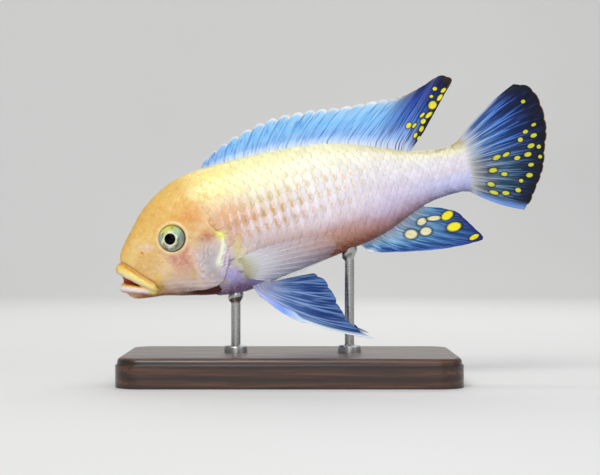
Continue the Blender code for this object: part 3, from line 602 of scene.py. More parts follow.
# Patches over them: place, half size, turn in degrees, softness, strength, colour
PATCHES = (
    ((18.9, -5.6), (3.7, 3.3), 20, 0.85, 0.95, (206, 136, 114)),  # cheek
    ((17.4, -4.4), (2.0, 1.0), -10, 0.8, 0.6, (190, 120, 112)),
    ((20.8, -2.6), (2.0, 0.6), 50, 0.8, 0.6, (198, 108, 86)),  # fold behind the eye
    ((15.0, -8.4), (5.0, 2.2), -12, 0.9, 0.5, (242, 212, 160)),
    ((14.0, -5.6), (1.8, 2.4), 10, 0.9, 0.5, (240, 214, 160)),
    ((15.5, -11.2), (6.5, 1.5), -8, 0.8, 0.8, (246, 220, 208)),
    ((27.2, -0.6), (2.3, 1.5), 6, 0.85, 1.0, (192, 112, 66)),  # temple
    ((29.2, 0.4), (1.8, 0.9), -30, 0.9, 0.6, (238, 194, 104)),
    ((31.0, -1.2), (1.1, 1.2), 20, 0.8, 1.0, (240, 242, 96)),  # rear corner of the gill cover
    ((26.2, -7.0), (3.2, 4.6), 0, 0.6, 0.95, (186, 182, 192)),
    ((23.6, -7.2), (0.9, 3.6), 8, 0.8, 0.6, (226, 222, 226)),
    ((24.2, -2.6), (1.8, 0.9), 0, 0.9, 0.5, (226, 186, 160)),
    ((29.2, -9.6), (1.6, 3.0), 14, 0.8, 0.75, (206, 196, 236)),
    ((22.2, -6.6), (0.7, 4.2), 4, 0.9, 0.7, (240, 204, 196)),
    ((24.2, 6.2), (3.8, 2.6), 20, 0.9, 0.75, (226, 146, 60)),
    ((14.6, 8.4), (4.0, 2.2), 42, 0.9, 0.45, (232, 172, 84)),
    ((34.0, 4.4), (4.4, 2.2), 14, 0.9, 0.65, (228, 152, 108)),  # shoulder
    ((38.4, 1.6), (4.2, 1.8), 4, 0.9, 0.6, (218, 146, 120)),
    ((34.4, -1.6), (2.2, 3.2), 10, 0.9, 0.6, (214, 150, 130)),
    ((10.4, 0.6), (1.5, 0.9), -20, 0.8, 0.75, (246, 218, 220)),  # before the eye
    ((8.3, -0.7), (1.1, 0.5), 10, 0.8, 0.6, (222, 152, 60)),  # nostril
    ((7.6, 2.2), (1.8, 1.4), 20, 0.9, 0.5, (240, 200, 160)),
    ((10.9, -9.6), (1.5, 2.2), 0, 0.8, 0.95, (226, 186, 58)),  # corner of the mouth
    ((10.8, -9.7), (1.2, 1.7), 0, 0.7, 1.0, (224, 176, 36)),
    ((34.2, -6.0), (1.2, 3.4), -10, 0.8, 0.8, (220, 204, 112)),  # root of the breast fin
    ((34.8, -9.8), (1.6, 3.0), -14, 0.8, 0.8, (230, 226, 186)),
    ((31.6, -12.6), (1.9, 1.8), 14, 0.8, 0.95, (178, 172, 240)),
    ((35.5, -15.4), (7.5, 1.5), 2, 0.8, 0.7, (160, 152, 214)),
    # lower edge of the chest: dark purple, partly painted shade
    ((31.5, -16.5), (5.0, 0.9), -2, 0.7, 0.8, (120, 70, 132)),
    ((21.0, -9.2), (0.8, 1.8), 4, 0.9, 0.7, (214, 184, 104)),
    ((56.5, -9.8), (13.0, 2.2), 5, 0.7, 0.55, (208, 150, 120)),
    ((68.0, -11.4), (8.0, 1.8), 18, 0.8, 0.55, (190, 116, 84)),
    # edge of the belly: dark brown, partly painted shade
    ((67.0, -13.2), (15.0, 1.4), 11, 0.7, 0.7, (128, 62, 44)),  # edge of the belly
)


def patch_mask(tree, place_of, at, size, turn, soft):
    return use(tree, blotch, Place=place_of, At=(*at, 0), Size=(*size, 1), Turn=turn, Soft=soft)["Mask"]


def make_fish_paint():
    """The airbrushed colours of the whole fish, by place."""
    group, given, outputs = group_of("fish paint", (("Place", "Vector", None),), (("Colour", "Color"),))
    place_of = given["Place"]
    for scale, reach in ((0.35, 2.2), (1.5, 1.1)):
        drift = noise(group, given["Place"], scale, 3.0, out=1)
        drift = put(group, "VectorMath", drift, (0.5, 0.5, 0.5), operation="SUBTRACT")
        drift = put(group, "VectorMath", drift, (reach, reach, 0.0), operation="MULTIPLY")
        place_of = put(group, "VectorMath", place_of, drift, operation="ADD")
    parts = group.nodes.new("ShaderNodeSeparateXYZ")
    group.links.new(place_of, parts.inputs[0])
    s, h = parts.outputs[0], parts.outputs[1]
    reach = []
    for column in (1, 3):
        edge = group.nodes.new("ShaderNodeFloatCurve")
        points = edge.mapping.curves[0].points
        keys = [(k[column] / 100, k[column + 1] / 50 + 0.5) for k in station_keys[3:]]
        while len(points) < len(keys):
            points.new(0.5, 0.5)
        for point, key in zip(points, keys):
            point.location = key
        edge.mapping.update()
        fill(group, edge.inputs["Value"], math_of(group, "DIVIDE", s, 100.0))
        reach.append(math_of(group, "MULTIPLY_ADD", edge.outputs[0], 50.0, -25.0))
    top, low = reach
    above = math_of(group, "SUBTRACT", h, low)
    rise = math_of(group, "DIVIDE", above, math_of(group, "SUBTRACT", top, low), clamp=True)
    colour, last = None, None
    for at, stops in SIDE_COLOURS:
        here = shades(group, rise, *stops)
        colour = here if colour is None else mixed(group, ramped(group, s, last, at), colour, here)
        last = at
    broken = ramped(group, noise(group, given["Place"], 1.1, 4.0), 0.3, 0.62, 0.6, 1.0)
    for at, size, turn, soft, strength, patch in PATCHES:
        mask = times(group, patch_mask(group, place_of, at, size, turn, soft), broken, strength)
        colour = mixed(group, mask, colour, rgb(*patch))
    on_head = ramped(group, s, 40.0, 26.0, 0.25, 1.0)
    clouds = noise(group, given["Place"], 0.8, 5.0)
    golden = times(group, on_head, ramped(group, h, -4.0, 4.0))
    specks = noise(group, given["Place"], 3.0, 4.0)
    rosy = times(group, on_head, ramped(group, h, 3.0, -5.0))
    for where, marks, start, end, strength, paint in (
        (golden, clouds, 0.5, 0.68, 0.5, (228, 148, 60)),
        (on_head, specks, 0.52, 0.76, 0.4, (248, 228, 180)),
        (rosy, clouds, 0.5, 0.68, 0.45, (238, 206, 178)),
        (rosy, specks, 0.44, 0.3, 0.25, (206, 156, 140)),
        (golden, specks, 0.44, 0.28, 0.45, (214, 130, 62)),
    ):
        mask = times(group, where, ramped(group, marks, start, end, 0.0, strength))
        colour = mixed(group, mask, colour, rgb(*paint))
    mottle = noise(group, given["Place"], 1.6, 4.0)
    mottle = ramped(group, mottle, 0.3, 0.75, 0.95, 1.03)
    colour = mixed(group, 1.0, colour, put(group, "CombineColor", mottle, mottle, mottle), "MULTIPLY")
    group.links.new(colour, outputs["Colour"])
    return group


fish_place = make_fish_place()
blotch = make_blotch()
fish_paint = make_fish_paint()


def material_of(name, roughness=0.4, **settings):
    """A new material's node tree and shader, with constants set on the shader's own sockets."""
    made = bpy.data.materials.new(name)
    made.use_nodes = True
    shader = made.node_tree.nodes["Principled BSDF"]
    shader.inputs["Roughness"].default_value = roughness
    for label, value in settings.items():
        shader.inputs[label.replace("_", " ")].default_value = value
    return made, made.node_tree, shader


def mask_of(tree, name):
    return put(tree, "Attribute", attribute_name=name, out=2)


def bumped(tree, height, distance, strength=1.0):
    return put(tree, "Bump", strength, distance, None, height)


def make_bare_skin():
    made, tree, shader = material_of("bare_skin", Coat_Weight=0.3, Coat_Roughness=0.2)
    given = use(tree, fish_place)
    place_of, s = given["Place"], given["S"]
    colour = use(tree, fish_paint, Place=place_of)["Colour"]
    fine = noise(tree, place_of, 2.4, 4.0)
    patchy = ramped(tree, fine, 0.35, 0.65, 0.55, 1.0)
    crest_paint = mixed(tree, ramped(tree, given["H"], -3.4, -1.0), rgb(250, 252, 226), rgb(244, 247, 138))
    for label, strength, paint in (
        ("grooves", 0.55, rgb(150, 142, 158)),
        ("flap", 0.8, rgb(226, 206, 232)),
        # painted shade along the fold's groove, greyish purple
        ("fold_shade", 0.75, rgb(142, 118, 140)),
        ("eyelid", 0.6, rgb(246, 224, 176)),
        ("crest", 1.0, crest_paint),
        # painted shadow line in the gill slit, dark purple
        ("slit_shadow", 0.6, rgb(128, 100, 140)),
        # painted shadow under the gill cover's lower edge, dark red over the throat's own red
        ("throat_shadow", 0.95, rgb(84, 20, 16)),
        # painted shade in the crease over the upper lip, darker orange
        ("crease", 0.7, rgb(186, 116, 34)),
    ):
        mask = times(tree, mask_of(tree, label), strength)
        mask = mask if label in ("throat_shadow", "crease", "crest") else times(tree, mask, patchy)
        colour = mixed(tree, mask, colour, paint)
    wavy = math_of(tree, "MULTIPLY_ADD", noise(tree, place_of, 0.9, 3.0), 0.5, -0.25)
    high = math_of(tree, "MULTIPLY_ADD", math_of(tree, "ADD", mask_of(tree, "lip_height"), wavy), 0.5, 0.5)
    lip = shades(
        tree, high, (0.05, 228, 206, 172), (0.3, 248, 232, 176), (0.55, 248, 224, 134),
        (0.8, 232, 188, 72), (0.97, 196, 132, 38),
    )
    rear = shades(tree, high, (0.1, 240, 222, 150), (0.6, 240, 218, 122), (0.95, 210, 168, 62))
    lip = mixed(tree, ramped(tree, s, 3.5, 8.5), lip, rear)
    lip = mixed(tree, ramped(tree, s, 1.6, 0.2, 0.0, 0.75), lip, rgb(216, 180, 72))
    colour = mixed(tree, mask_of(tree, "upper_lip"), colour, lip)
    # lower lip: the pinkish-white band low on its roll is partly a painted highlight along the lip's lower
    # edge
    lip = shades(
        tree, high, (0.04, 206, 140, 88), (0.2, 228, 206, 206), (0.42, 238, 228, 234),
        (0.66, 236, 212, 176), (0.84, 222, 168, 76), (1.0, 196, 120, 44),
    )
    lip = mixed(tree, ramped(tree, s, 6.5, 9.4), lip, rgb(228, 200, 92))
    colour = mixed(tree, mask_of(tree, "lower_lip"), colour, lip)
    colour = mixed(tree, mask_of(tree, "mouth"), colour, rgb(176, 62, 16))
    tree.links.new(colour, shader.inputs["Base Color"])
    grain = noise(tree, place_of, 5.0, 4.0)
    dimples = put(tree, "TexVoronoi", place_of, None, 3.2, feature="SMOOTH_F1")
    height = math_of(tree, "MULTIPLY_ADD", dimples, 0.5, grain)
    tree.links.new(bumped(tree, height, 0.00006, 0.6), shader.inputs["Normal"])
    tree.links.new(ramped(tree, grain, 0.3, 0.7, 0.34, 0.5), shader.inputs["Roughness"])
    return made


skin.data.materials.append(make_bare_skin())
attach(skin, "root")
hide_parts("head", "trunk", "tail_stalk", "gill_cover_left", "gill_cover_right")

# Eyes: a domed ball of glass-hard resin set in each socket, silver-green, with a black pupil in a thin
# gold ring. The pupil bulges a little, as a fish's lens does, and the rim is dark.
EYE_RADIUS = 3.72
EYE_HALF_DEPTH = 2.9
EYE_PROUD = 1.15
EYE_TURN = math.radians(7.0)
PUPIL = 1.5
PUPIL_AT = (-0.15, -0.35)

# Patches over the iris: place, half size, turn in degrees, softness, strength, colour
IRIS_PATCHES = (
    ((-0.4, 2.3), (1.6, 0.8), 10, 0.7, 0.85, (210, 216, 110)),
    ((2.1, 1.4), (0.9, 1.1), 0, 0.8, 0.75, (170, 206, 172)),
    ((1.0, 2.6), (0.35, 0.3), 0, 0.6, 0.8, (134, 148, 44)),
    ((-2.9, 0.5), (0.5, 1.1), -10, 0.7, 0.7, (166, 188, 196)),
    ((-1.9, 1.6), (0.5, 0.2), 40, 0.6, 0.8, (84, 100, 88)),
    # painted highlight, white
    ((-2.1, 2.0), (0.4, 0.13), 40, 0.6, 0.9, (232, 236, 228)),
    ((-1.9, 0.0), (1.5, 0.36), 47, 0.6, 0.9, (236, 238, 188)),
    ((3.0, -0.5), (0.5, 1.1), 0, 0.7, 0.7, (124, 138, 144)),
    ((1.3, -2.3), (0.9, 0.32), 35, 0.6, 0.8, (98, 110, 72)),
    ((2.0, -1.2), (0.25, 0.7), -25, 0.6, 0.8, (98, 112, 94)),
    ((-2.7, -1.8), (0.7, 0.4), -45, 0.7, 0.8, (172, 142, 130)),
    ((-1.95, -2.5), (0.55, 0.26), -30, 0.6, 0.8, (92, 92, 62)),
    # painted highlight, blue-white
    ((-0.7, -2.4), (0.8, 0.4), -5, 0.6, 0.9, (216, 230, 234)),
    ((-0.45, -2.8), (0.3, 0.14), 0, 0.6, 0.7, (96, 120, 152)),
    ((0.4, 1.45), (0.8, 0.3), -10, 0.6, 0.85, (228, 230, 238)),
    ((1.75, -0.1), (0.26, 0.6), 10, 0.6, 0.85, (226, 244, 228)),
    ((0.2, -2.0), (1.1, 0.3), 8, 0.6, 0.9, (242, 234, 196)),
)


def flank_y(s, h):
    """Half width of the bare body at (s, h)."""
    run = np.interp(s, side_line[:, 0], side_runs)
    _, crown_h, _, keel_h, _, side_h, width = np.moveaxis(smooth(station_keys, run), -1, 0)
    up = h > side_h
    share = np.clip((h - side_h) / (np.where(up, crown_h, keel_h) - side_h), 0, 1)
    power = np.where(up, BACK_POWER, BELLY_POWER)
    return width * (1 - share**power) ** (1 / power)


side_runs = np.linspace(0, BODY_RUN, 600)
side_line = np.stack(body_surface(side_runs, math.pi / 2), -1)


def unwrap(target, name, flat):
    """Keeps a flat place for every mesh point, under a name that a material can read."""
    corners = np.zeros(len(target.data.loops), np.int32)
    target.data.loops.foreach_get("vertex_index", corners)
    target.data.uv_layers.new(name=name)
    target.data.uv_layers[name].data.foreach_set("uv", flat[corners].ravel())


def make_eye(name, side):
    run, turn = np.linspace(0, 70, 500)[:, None], np.linspace(0.2, 2.6, 300)[None, :]
    s, y, h = body_surface(run, turn)
    nearest = np.argmin(np.hypot(s - EYE[0], h - EYE[1]))
    centre = np.array((EYE[0], side * (y.ravel()[nearest] + EYE_PROUD - EYE_HALF_DEPTH), EYE[1]))
    rings_at = ((0.02, 1.9, 22), (2.0, 3.3, 12), (3.35, 3.71, 14))
    across = np.concatenate([np.linspace(*band) for band in rings_at])
    around = np.linspace(0, 2 * math.pi, 112, endpoint=False)
    r, a = np.meshgrid(across, around, indexing="ij")
    depth = EYE_HALF_DEPTH * np.sqrt(np.clip(1 - (r / EYE_RADIUS) ** 2, 0, 1))
    fibres = np.sin(a * 23 + 1.3 * np.sin(a * 5)) + 0.6 * np.sin(a * 41 + 2)
    pupil = np.hypot(r * np.cos(a) - PUPIL_AT[0], r * np.sin(a) - PUPIL_AT[1])
    depth += 0.10 * eased(pupil, PUPIL, PUPIL - 0.4) - 0.07 * hump(pupil - PUPIL - 0.1, 0.12)
    depth += 0.008 * fibres * eased(r, 1.7, 2.2) * eased(r, 3.4, 3.0) - 0.08 * hump(r - 3.3, 0.12)
    front = np.stack([r * np.cos(a), side * depth, r * np.sin(a)], -1)
    back = front[-1:] * np.array((0.95, 1.0, 0.95)) - np.array((0, side * 1.6, 0))
    local = np.concatenate([front, back])
    spin = np.array(Matrix.Rotation(EYE_TURN * side, 3, "Z") @ Matrix.Rotation(EYE_TURN * side, 3, "X"))
    rings = local @ spin.T + centre
    made = lofted(name, place(*np.moveaxis(rings, -1, 0)))
    flat = np.vstack([local.reshape(-1, 3), (0, 0, 0), (0, 0, 0)])[:, (0, 2)]
    unwrap(made, "iris", flat)
    return made


def make_eye_paint():
    """Iris and pupil painted on the domed front, seen through the varnish."""
    made, tree, shader = material_of("eye_resin", 0.22, Coat_Roughness=0.02)
    spot = put(tree, "UVMap", uv_map="iris")
    wobble = noise(tree, spot, 1.3, 3.0, out=1)
    wobble = put(tree, "VectorMath", wobble, (0.5, 0.5, 0.5), operation="SUBTRACT")
    spot_moved = put(tree, "VectorMath", wobble, (0.34, 0.34, 0.0), spot, operation="MULTIPLY_ADD")
    reach = put(tree, "VectorMath", spot, operation="LENGTH", out=1)
    from_pupil = put(tree, "VectorMath", spot, (*PUPIL_AT, 0.0), operation="SUBTRACT")
    pupil = put(tree, "VectorMath", from_pupil, operation="LENGTH", out=1)
    parts = tree.nodes.new("ShaderNodeSeparateXYZ")
    tree.links.new(spot_moved, parts.inputs[0])
    up = ramped(tree, parts.outputs[1], -3.0, 3.4)
    angle = math_of(tree, "ARCTAN2", parts.outputs[1], parts.outputs[0])
    rays = put(tree, "CombineXYZ", times(tree, angle, 5.0), times(tree, reach, 0.7))
    fibres = noise(tree, rays, 2.2, 4.0)
    iris = shades(
        tree, up, (0.0, 176, 184, 164), (0.35, 150, 168, 150), (0.68, 160, 176, 140), (1.0, 206, 204, 92),
    )
    iris = mixed(tree, ramped(tree, fibres, 0.45, 0.7, 0.0, 0.55), iris, rgb(86, 104, 88))
    for at, size, turn, soft, strength, patch in IRIS_PATCHES:
        mask = times(tree, patch_mask(tree, spot_moved, at, size, turn, soft), strength)
        iris = mixed(tree, mask, iris, rgb(*patch))
    ragged = math_of(tree, "MULTIPLY_ADD", put(tree, "TexNoise", spot, None, 1.1, 2.0), 0.7, -0.35)
    gold = mixed(tree, ramped(tree, parts.outputs[1], -0.6, 0.6), rgb(240, 232, 198), rgb(222, 220, 190))
    iris = mixed(tree, ramped(tree, math_of(tree, "ADD", pupil, ragged), 2.0, 1.75, 0.0, 0.8), iris, gold)
    iris = mixed(tree, ramped(tree, pupil, 1.6, 1.48), iris, rgb(3, 3, 5))
    iris = mixed(tree, ramped(tree, reach, 3.35, 3.65, 0.0, 0.8), iris, rgb(92, 94, 84))
    tree.links.new(iris, shader.inputs["Base Color"])
    tree.links.new(ramped(tree, pupil, 1.6, 1.9, 0.08, 0.3), shader.inputs["Roughness"])
    tree.links.new(ramped(tree, pupil, 1.5, 1.9, 0.03, 0.15), shader.inputs["Coat Weight"])
    shader.inputs["Specular IOR Level"].default_value = 0.05
    carved = times(tree, fibres, ramped(tree, pupil, 1.6, 1.9))
    tree.links.new(bumped(tree, carved, 0.00005, 0.5), shader.inputs["Normal"])
    return made


eye_paint = make_eye_paint()
for name, side in (("left", -1), ("right", 1)):
    eye = make_eye("fish_eye_" + name, side)
    eye.data.materials.append(eye_paint)
    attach(eye, "root")
    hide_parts("eye_" + name)

# Scales: thin overlapping plates in slanting rows on the nape, body and tail stalk, each rooted under
# the skin with its rounded rear edge free. Along the flank every other row has golden and ochre spots,
# and the rows between have pale lavender streaks.
SCALE_ROWS = 16
SCALE_SIZES = (  # s, row pitch, spacing along a row
    (18.0, 1.35, 1.7),
    (28.0, 1.62, 2.1),
    (36.0, 1.92, 2.55),
    (48.0, 2.02, 2.66),
    (60.0, 1.92, 2.6),
    (72.0, 1.6, 2.3),
    (84.0, 1.3, 2.0),
    (104.0, 1.12, 1.7),
)
SCALE_DEPTH = 0.03
ALONG, ACROSS = 8, 9


def coat_point(run, turn, height):
    """A point over the hide, in mm, also a little way back over the tail fin's root."""
    over = np.maximum(run - BODY_RUN, 0.0)

    def at(run, turn):
        s, y, h = body_surface(np.minimum(run, BODY_RUN), turn)
        return place(s + over, y * (1 - 0.17 * over), h)

    step = 0.02
    inside = np.minimum(run, BODY_RUN - 2 * step)
    back = at(inside + step, turn) - at(inside - step, turn)
    down = at(run, turn + step) - at(run, turn - step)
    normal = np.cross(back, down)
    normal /= np.linalg.norm(normal, axis=-1)[..., None]
    return at(run, turn) + normal * height[..., None]


def girth_table():
    """Turn round the body at (run, way up or down the side from the side line)."""
    runs = np.linspace(0.0, BODY_RUN, 260)
    turns = np.linspace(-0.7, math.pi + 0.7, 400)
    _, y, h = body_surface(runs[:, None], turns[None, :])
    way = np.concatenate([np.zeros((len(runs), 1)), np.cumsum(np.hypot(np.diff(y), np.diff(h)), 1)], 1)
    middle = np.array([np.interp(math.pi / 2, turns, w) for w in way])
    ways = np.linspace(-27.0, 27.0, 433)
    table = np.array([np.interp(m - ways, w, turns) for m, w in zip(middle, way)])
    return runs, ways, table


def turn_at(girths, run, way):
    runs, ways, table = girths
    i = np.clip(run / runs[-1] * (len(runs) - 1), 0, len(runs) - 1.001)
    j = np.clip((way - ways[0]) / (ways[1] - ways[0]), 0, len(ways) - 1.001)
    a, b = i.astype(int), j.astype(int)
    f, g = i - a, j - b
    low = table[a, b] * (1 - g) + table[a, b + 1] * g
    high = table[a + 1, b] * (1 - g) + table[a + 1, b + 1] * g
    return low * (1 - f) + high * f


def scale_places(girths, rng):
    """(run, way, pitch, spacing, row, tone) of every scale on one side."""
    sizes = np.array(SCALE_SIZES)
    s_fine = np.linspace(18.0, 101.0, 1700)
    run_fine = np.interp(s_fine, side_line[:, 0], side_runs) + np.maximum(0, s_fine - TAIL_BASE)
    pitch_fine = np.interp(s_fine, sizes[:, 0], sizes[:, 1])
    spacing_fine = np.interp(s_fine, sizes[:, 0], sizes[:, 2])
    count_fine = np.concatenate([[0], np.cumsum(np.diff(s_fine) / spacing_fine[1:])])
    lift = 1.9 * eased(s_fine, 24.0, 66.0) - 0.9
    found = []
    for row in range(-SCALE_ROWS, SCALE_ROWS):
        numbers = np.arange(0.3 + 0.5 * (row % 2), count_fine[-1], 1.0)
        numbers = numbers + rng.uniform(-0.035, 0.035, len(numbers))
        s = np.interp(numbers, count_fine, s_fine)
        run, pitch = np.interp(s, s_fine, run_fine), np.interp(s, s_fine, pitch_fine)
        way = (row + 0.5) * pitch + np.interp(s, s_fine, lift) + rng.uniform(-0.05, 0.05, len(s))
        spacing = np.interp(s, s_fine, spacing_fine)
        turn = turn_at(girths, run, way)
        here_s, _, here_h = body_surface(np.minimum(run, BODY_RUN), turn)
        here_s = here_s + np.maximum(run - BODY_RUN, 0)
        behind, share = beside(gill_line, here_s, here_h)
        clear_of_gill = behind > 0.4 + 0.9 * (share > 0.86) + 0.7 * (share < 0.12)
        kept = np.where(here_h > GILL_TOP, behind_nape(here_s, here_h) > -0.8, clear_of_gill & (here_s > 25))
        kept &= (turn > 0.035) & (turn < math.pi - 0.03)
        kept &= (here_h > -15.2) | (here_s > 28.6)  # the throat is bare
        from_fin = np.hypot((here_s - BREAST_FIN_AT[0] - 0.2) / 2.1, (here_h - BREAST_FIN_AT[1]) / 3.7)
        kept &= from_fin > 1  # and so is the breast fin's root
        tone = rng.uniform(0, 1, len(s))
        found.append(np.stack([run, way, pitch, spacing, np.full(len(s), row), tone, here_s], -1)[kept])
    return np.concatenate(found)


def sheet_faces(rows, columns):
    """Faces of a closed sheet whose top and bottom are grids of points, one after the other."""
    count = rows * columns
    grid = grid_faces(rows, columns)
    rim = [i * columns for i in range(rows)] + [count - columns + j for j in range(1, columns)]
    rim += [i * columns + columns - 1 for i in range(rows - 2, -1, -1)] + list(range(columns - 2, 0, -1))
    rim = np.array(rim)
    after = np.roll(rim, -1)
    return np.vstack([grid, grid[:, ::-1] + count, np.stack([rim, after, after + count, rim + count], -1)])


def make_scales(name, side, rng):
    girths = girth_table()
    run, way, pitch, spacing, row, tone, s = np.moveaxis(scale_places(girths, rng), -1, 0)[:, :, None, None]
    v = 1 - (1 - np.linspace(0, 1, ALONG)) ** 1.15
    u, v = (grid[None] for grid in np.meshgrid(np.linspace(-1, 1, ACROSS), v, indexing="ij"))
    along = 0.14 * u**2 + v * (1 - 0.42 * np.abs(u) ** 2.4 - 0.14 * u**2)
    length, width = 1.72 * spacing, 1.06 * pitch * (1 - 0.1 * (1 - v) ** 2)
    at_run = run + length * (along - 0.56) - 0.04 * pitch * u
    at_way = way + width * u
    lean = rng.uniform(-0.008, 0.012, run.shape)
    step = (0.11 + lean) * (1 - 0.35 * eased(np.abs(way), 7.0, 12.0))
    height = -0.17 + step * along - 0.03 * u**2 * (1 - 0.5 * v) - 0.035 * eased(v, 0.8, 1.05)
    side_line_row = (s > 31) & (s < 74) & (row == np.where(s < 52, 3, 2)) | (row == -1) & (s > 70)
    tube = 0.07 * hump(u, 0.13) * eased(v, 0.35, 0.6) * eased(v, 1.0, 0.8)
    height = height + np.where(side_line_row, tube, 0)
    thickness = SCALE_DEPTH * (1 - 0.5 * eased(v, 0.75, 1.0)) * (1 - 0.4 * u**6)
    turn = side * turn_at(girths, at_run, at_way)
    top = coat_point(at_run, turn, height)
    low = coat_point(at_run, turn, height - thickness)
    count, per = len(run), ACROSS * ALONG
    points = np.stack([top, low], 1).reshape(count, 2 * per, 3)
    plate = sheet_faces(ACROSS, ALONG)
    faces = (plate[None] + (np.arange(count) * 2 * per)[:, None, None]).reshape(-1, 4)
    made = piece(name, points.reshape(-1, 3), faces)
    flat = np.stack(np.broadcast_arrays(u, along), -1)
    flat = np.broadcast_to(flat, (count, ACROSS, ALONG, 2)).reshape(count, per, 2)
    flat = np.concatenate([flat, flat], 1)
    on_hide = np.stack([run / (BODY_RUN + 3), 0.5 + way / 56], -1).reshape(count, 1, 2) * 0.96 + 0.02
    unwrap(made, "plate", (flat * (0.5, 1.0) + (0.5, 0.0)).reshape(-1, 2))
    unwrap(made, "OFBake", (on_hide + flat * 0.0015).reshape(-1, 2))
    both = np.stack([tone, row % 2], -1).reshape(count, 1, 2)
    both = np.broadcast_to(both, (count, 2 * per, 2)).reshape(-1, 2)
    set_masks(made, tone=both[:, 0], pale_row=both[:, 1])
    return made


def make_scale_paint():
    made, tree, shader = material_of("scale_resin", Coat_Weight=0.4, Coat_Roughness=0.2)
    given = use(tree, fish_place)
    place_of = given["Place"]
    colour = use(tree, fish_paint, Place=place_of)["Colour"]
    plate = tree.nodes.new("ShaderNodeSeparateXYZ")
    tree.links.new(put(tree, "UVMap", uv_map="plate"), plate.inputs[0])
    u = math_of(tree, "MULTIPLY_ADD", plate.outputs[0], 2.0, -1.0)
    pale_row = mask_of(tree, "pale_row")
    wide = math_of(tree, "MULTIPLY_ADD", pale_row, 0.3, 0.6)
    across = math_of(tree, "DIVIDE", u, wide)
    narrow = math_of(tree, "MULTIPLY_ADD", pale_row, -0.045, 0.115)
    along = math_of(tree, "DIVIDE", math_of(tree, "SUBTRACT", plate.outputs[1], 0.76), narrow)
    centre = put(tree, "VectorMath", put(tree, "CombineXYZ", across, along), operation="LENGTH", out=1)
    ragged = ramped(tree, noise(tree, place_of, 1.1, 4.0), 0.3, 0.7, -0.45, 0.45)
    centre = math_of(tree, "ADD", centre, ragged)
    centre = ramped(tree, centre, 1.5, 0.3)
    gold_row = math_of(tree, "SUBTRACT", 1.0, pale_row)
    gold = patch_mask(tree, place_of, (43.5, 1.4), (10.5, 4.6), 6.0, 0.75)
    ochre = patch_mask(tree, place_of, (54.0, 2.6), (20.0, 6.4), 3.0, 0.7)
    olive = ramped(tree, given["H"], 1.0, 6.0)
    streak = times(tree, centre, pale_row, ochre, 0.75)
    colour = mixed(tree, streak, colour, rgb(242, 236, 252))
    spot = times(tree, centre, gold_row)
    colour = mixed(tree, times(tree, spot, ochre, 0.65), colour, rgb(212, 180, 130))
    gilt = mixed(tree, olive, rgb(196, 150, 72), rgb(198, 186, 104))
    colour = mixed(tree, times(tree, spot, gold, 0.85), colour, gilt)
    # pale rear rims of the scales: partly their own lavender-white edges, partly painted light that lifts
    # the shadow under each rim
    inside = times(tree, ramped(tree, given["H"], 12.0, 6.0), ramped(tree, given["H"], -9.0, -5.0))
    edge = times(tree, ramped(tree, plate.outputs[1], 0.86, 0.98), inside, 0.22)
    colour = mixed(tree, edge, colour, rgb(246, 240, 250))
    tone = ramped(tree, mask_of(tree, "tone"), 0.0, 1.0, 0.94, 1.05)
    colour = mixed(tree, 1.0, colour, put(tree, "CombineColor", tone, tone, tone), "MULTIPLY")
    tree.links.new(colour, shader.inputs["Base Color"])
    rings = put(tree, "TexWave", put(tree, "UVMap", uv_map="plate"), 9.0, 1.0, 2.0, bands_direction="Y")
    grain = noise(tree, place_of, 6.0, 3.0)
    height = math_of(tree, "MULTIPLY_ADD", rings, 0.35, grain)
    tree.links.new(bumped(tree, height, 0.00004, 0.5), shader.inputs["Normal"])
    tree.links.new(ramped(tree, grain, 0.3, 0.7, 0.3, 0.46), shader.inputs["Roughness"])
    return made


scale_paint = make_scale_paint()
for name, side in (("left", -1), ("right", 1)):
    scales = make_scales("scales_" + name, side, np.random.default_rng(5))
    scales.data.materials.append(scale_paint)
    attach(scales, "root")

# Fins: thin skins of resin stretched on rays, each fin cast in one sheet with its rays standing up
# on both faces. The soft rays fork towards the edge, and the back fin's lobes stand behind its spines.
DORSAL = (  # place of a ray, its root s, its tip s and h, and how far it bows
    (0, 30.0, 31.0, 19.9, 0),
    (1, 31.9, 33.6, 21.4, 0.1),
    (3, 36.5, 39.6, 23.9, 0.2),
    (6, 45.2, 51.1, 26.4, 0.3),
    (9, 53.7, 62.2, 26.1, 0.3),
    (12, 62.1, 72.1, 24.6, 0.3),
    (15, 70.3, 82.6, 23.8, 0.3),
    (17, 75.4, 88.8, 23.2, 0.3),
    (19, 79.6, 94.6, 24.4, 0.3),
    (21, 83.6, 100.6, 26.1, 0.3),
    (22, 85.2, 103.4, 24.2, 0.2),
    (23, 86.1, 100.4, 20.9, 0.1),
    (24, 86.7, 96.7, 17.0, 0),
    (25, 87.2, 91.9, 12.0, 0),
)
ANAL = (
    (0, 67.2, 68.8, -16.2, 0),
    (1, 69.0, 73.4, -17.4, 0),
    (2, 70.9, 79.0, -18.7, -0.2),
    (4, 74.6, 89.6, -20.6, -0.4),
    (6, 79.0, 99.5, -21.0, -0.5),
    (7, 81.3, 100.3, -19.8, -0.4),
    (8, 83.4, 97.8, -15.6, -0.2),
    (9, 85.2, 95.3, -11.8, 0),
    (10, 86.4, 91.2, -9.4, 0),
)
TAIL_FIN = (  # the same, with the root's h
    (0, 99.7, 6.6, 119.9, 18.7, 1.0),
    (1, 99.7, 5.6, 123.7, 17.2, 0.7),
    (2, 99.7, 4.6, 125.8, 13.3, 0.4),
    (4, 99.7, 2.6, 126.0, 5.3, 0.1),
    (6, 99.7, 0.6, 124.0, -0.6, 0),
    (8, 99.7, -1.6, 121.8, -6.3, -0.1),
    (10, 99.7, -3.8, 118.2, -11.3, -0.4),
    (11, 99.7, -5.2, 116.1, -14.0, -0.6),
    (12, 99.7, -6.6, 113.6, -15.9, -0.8),
)
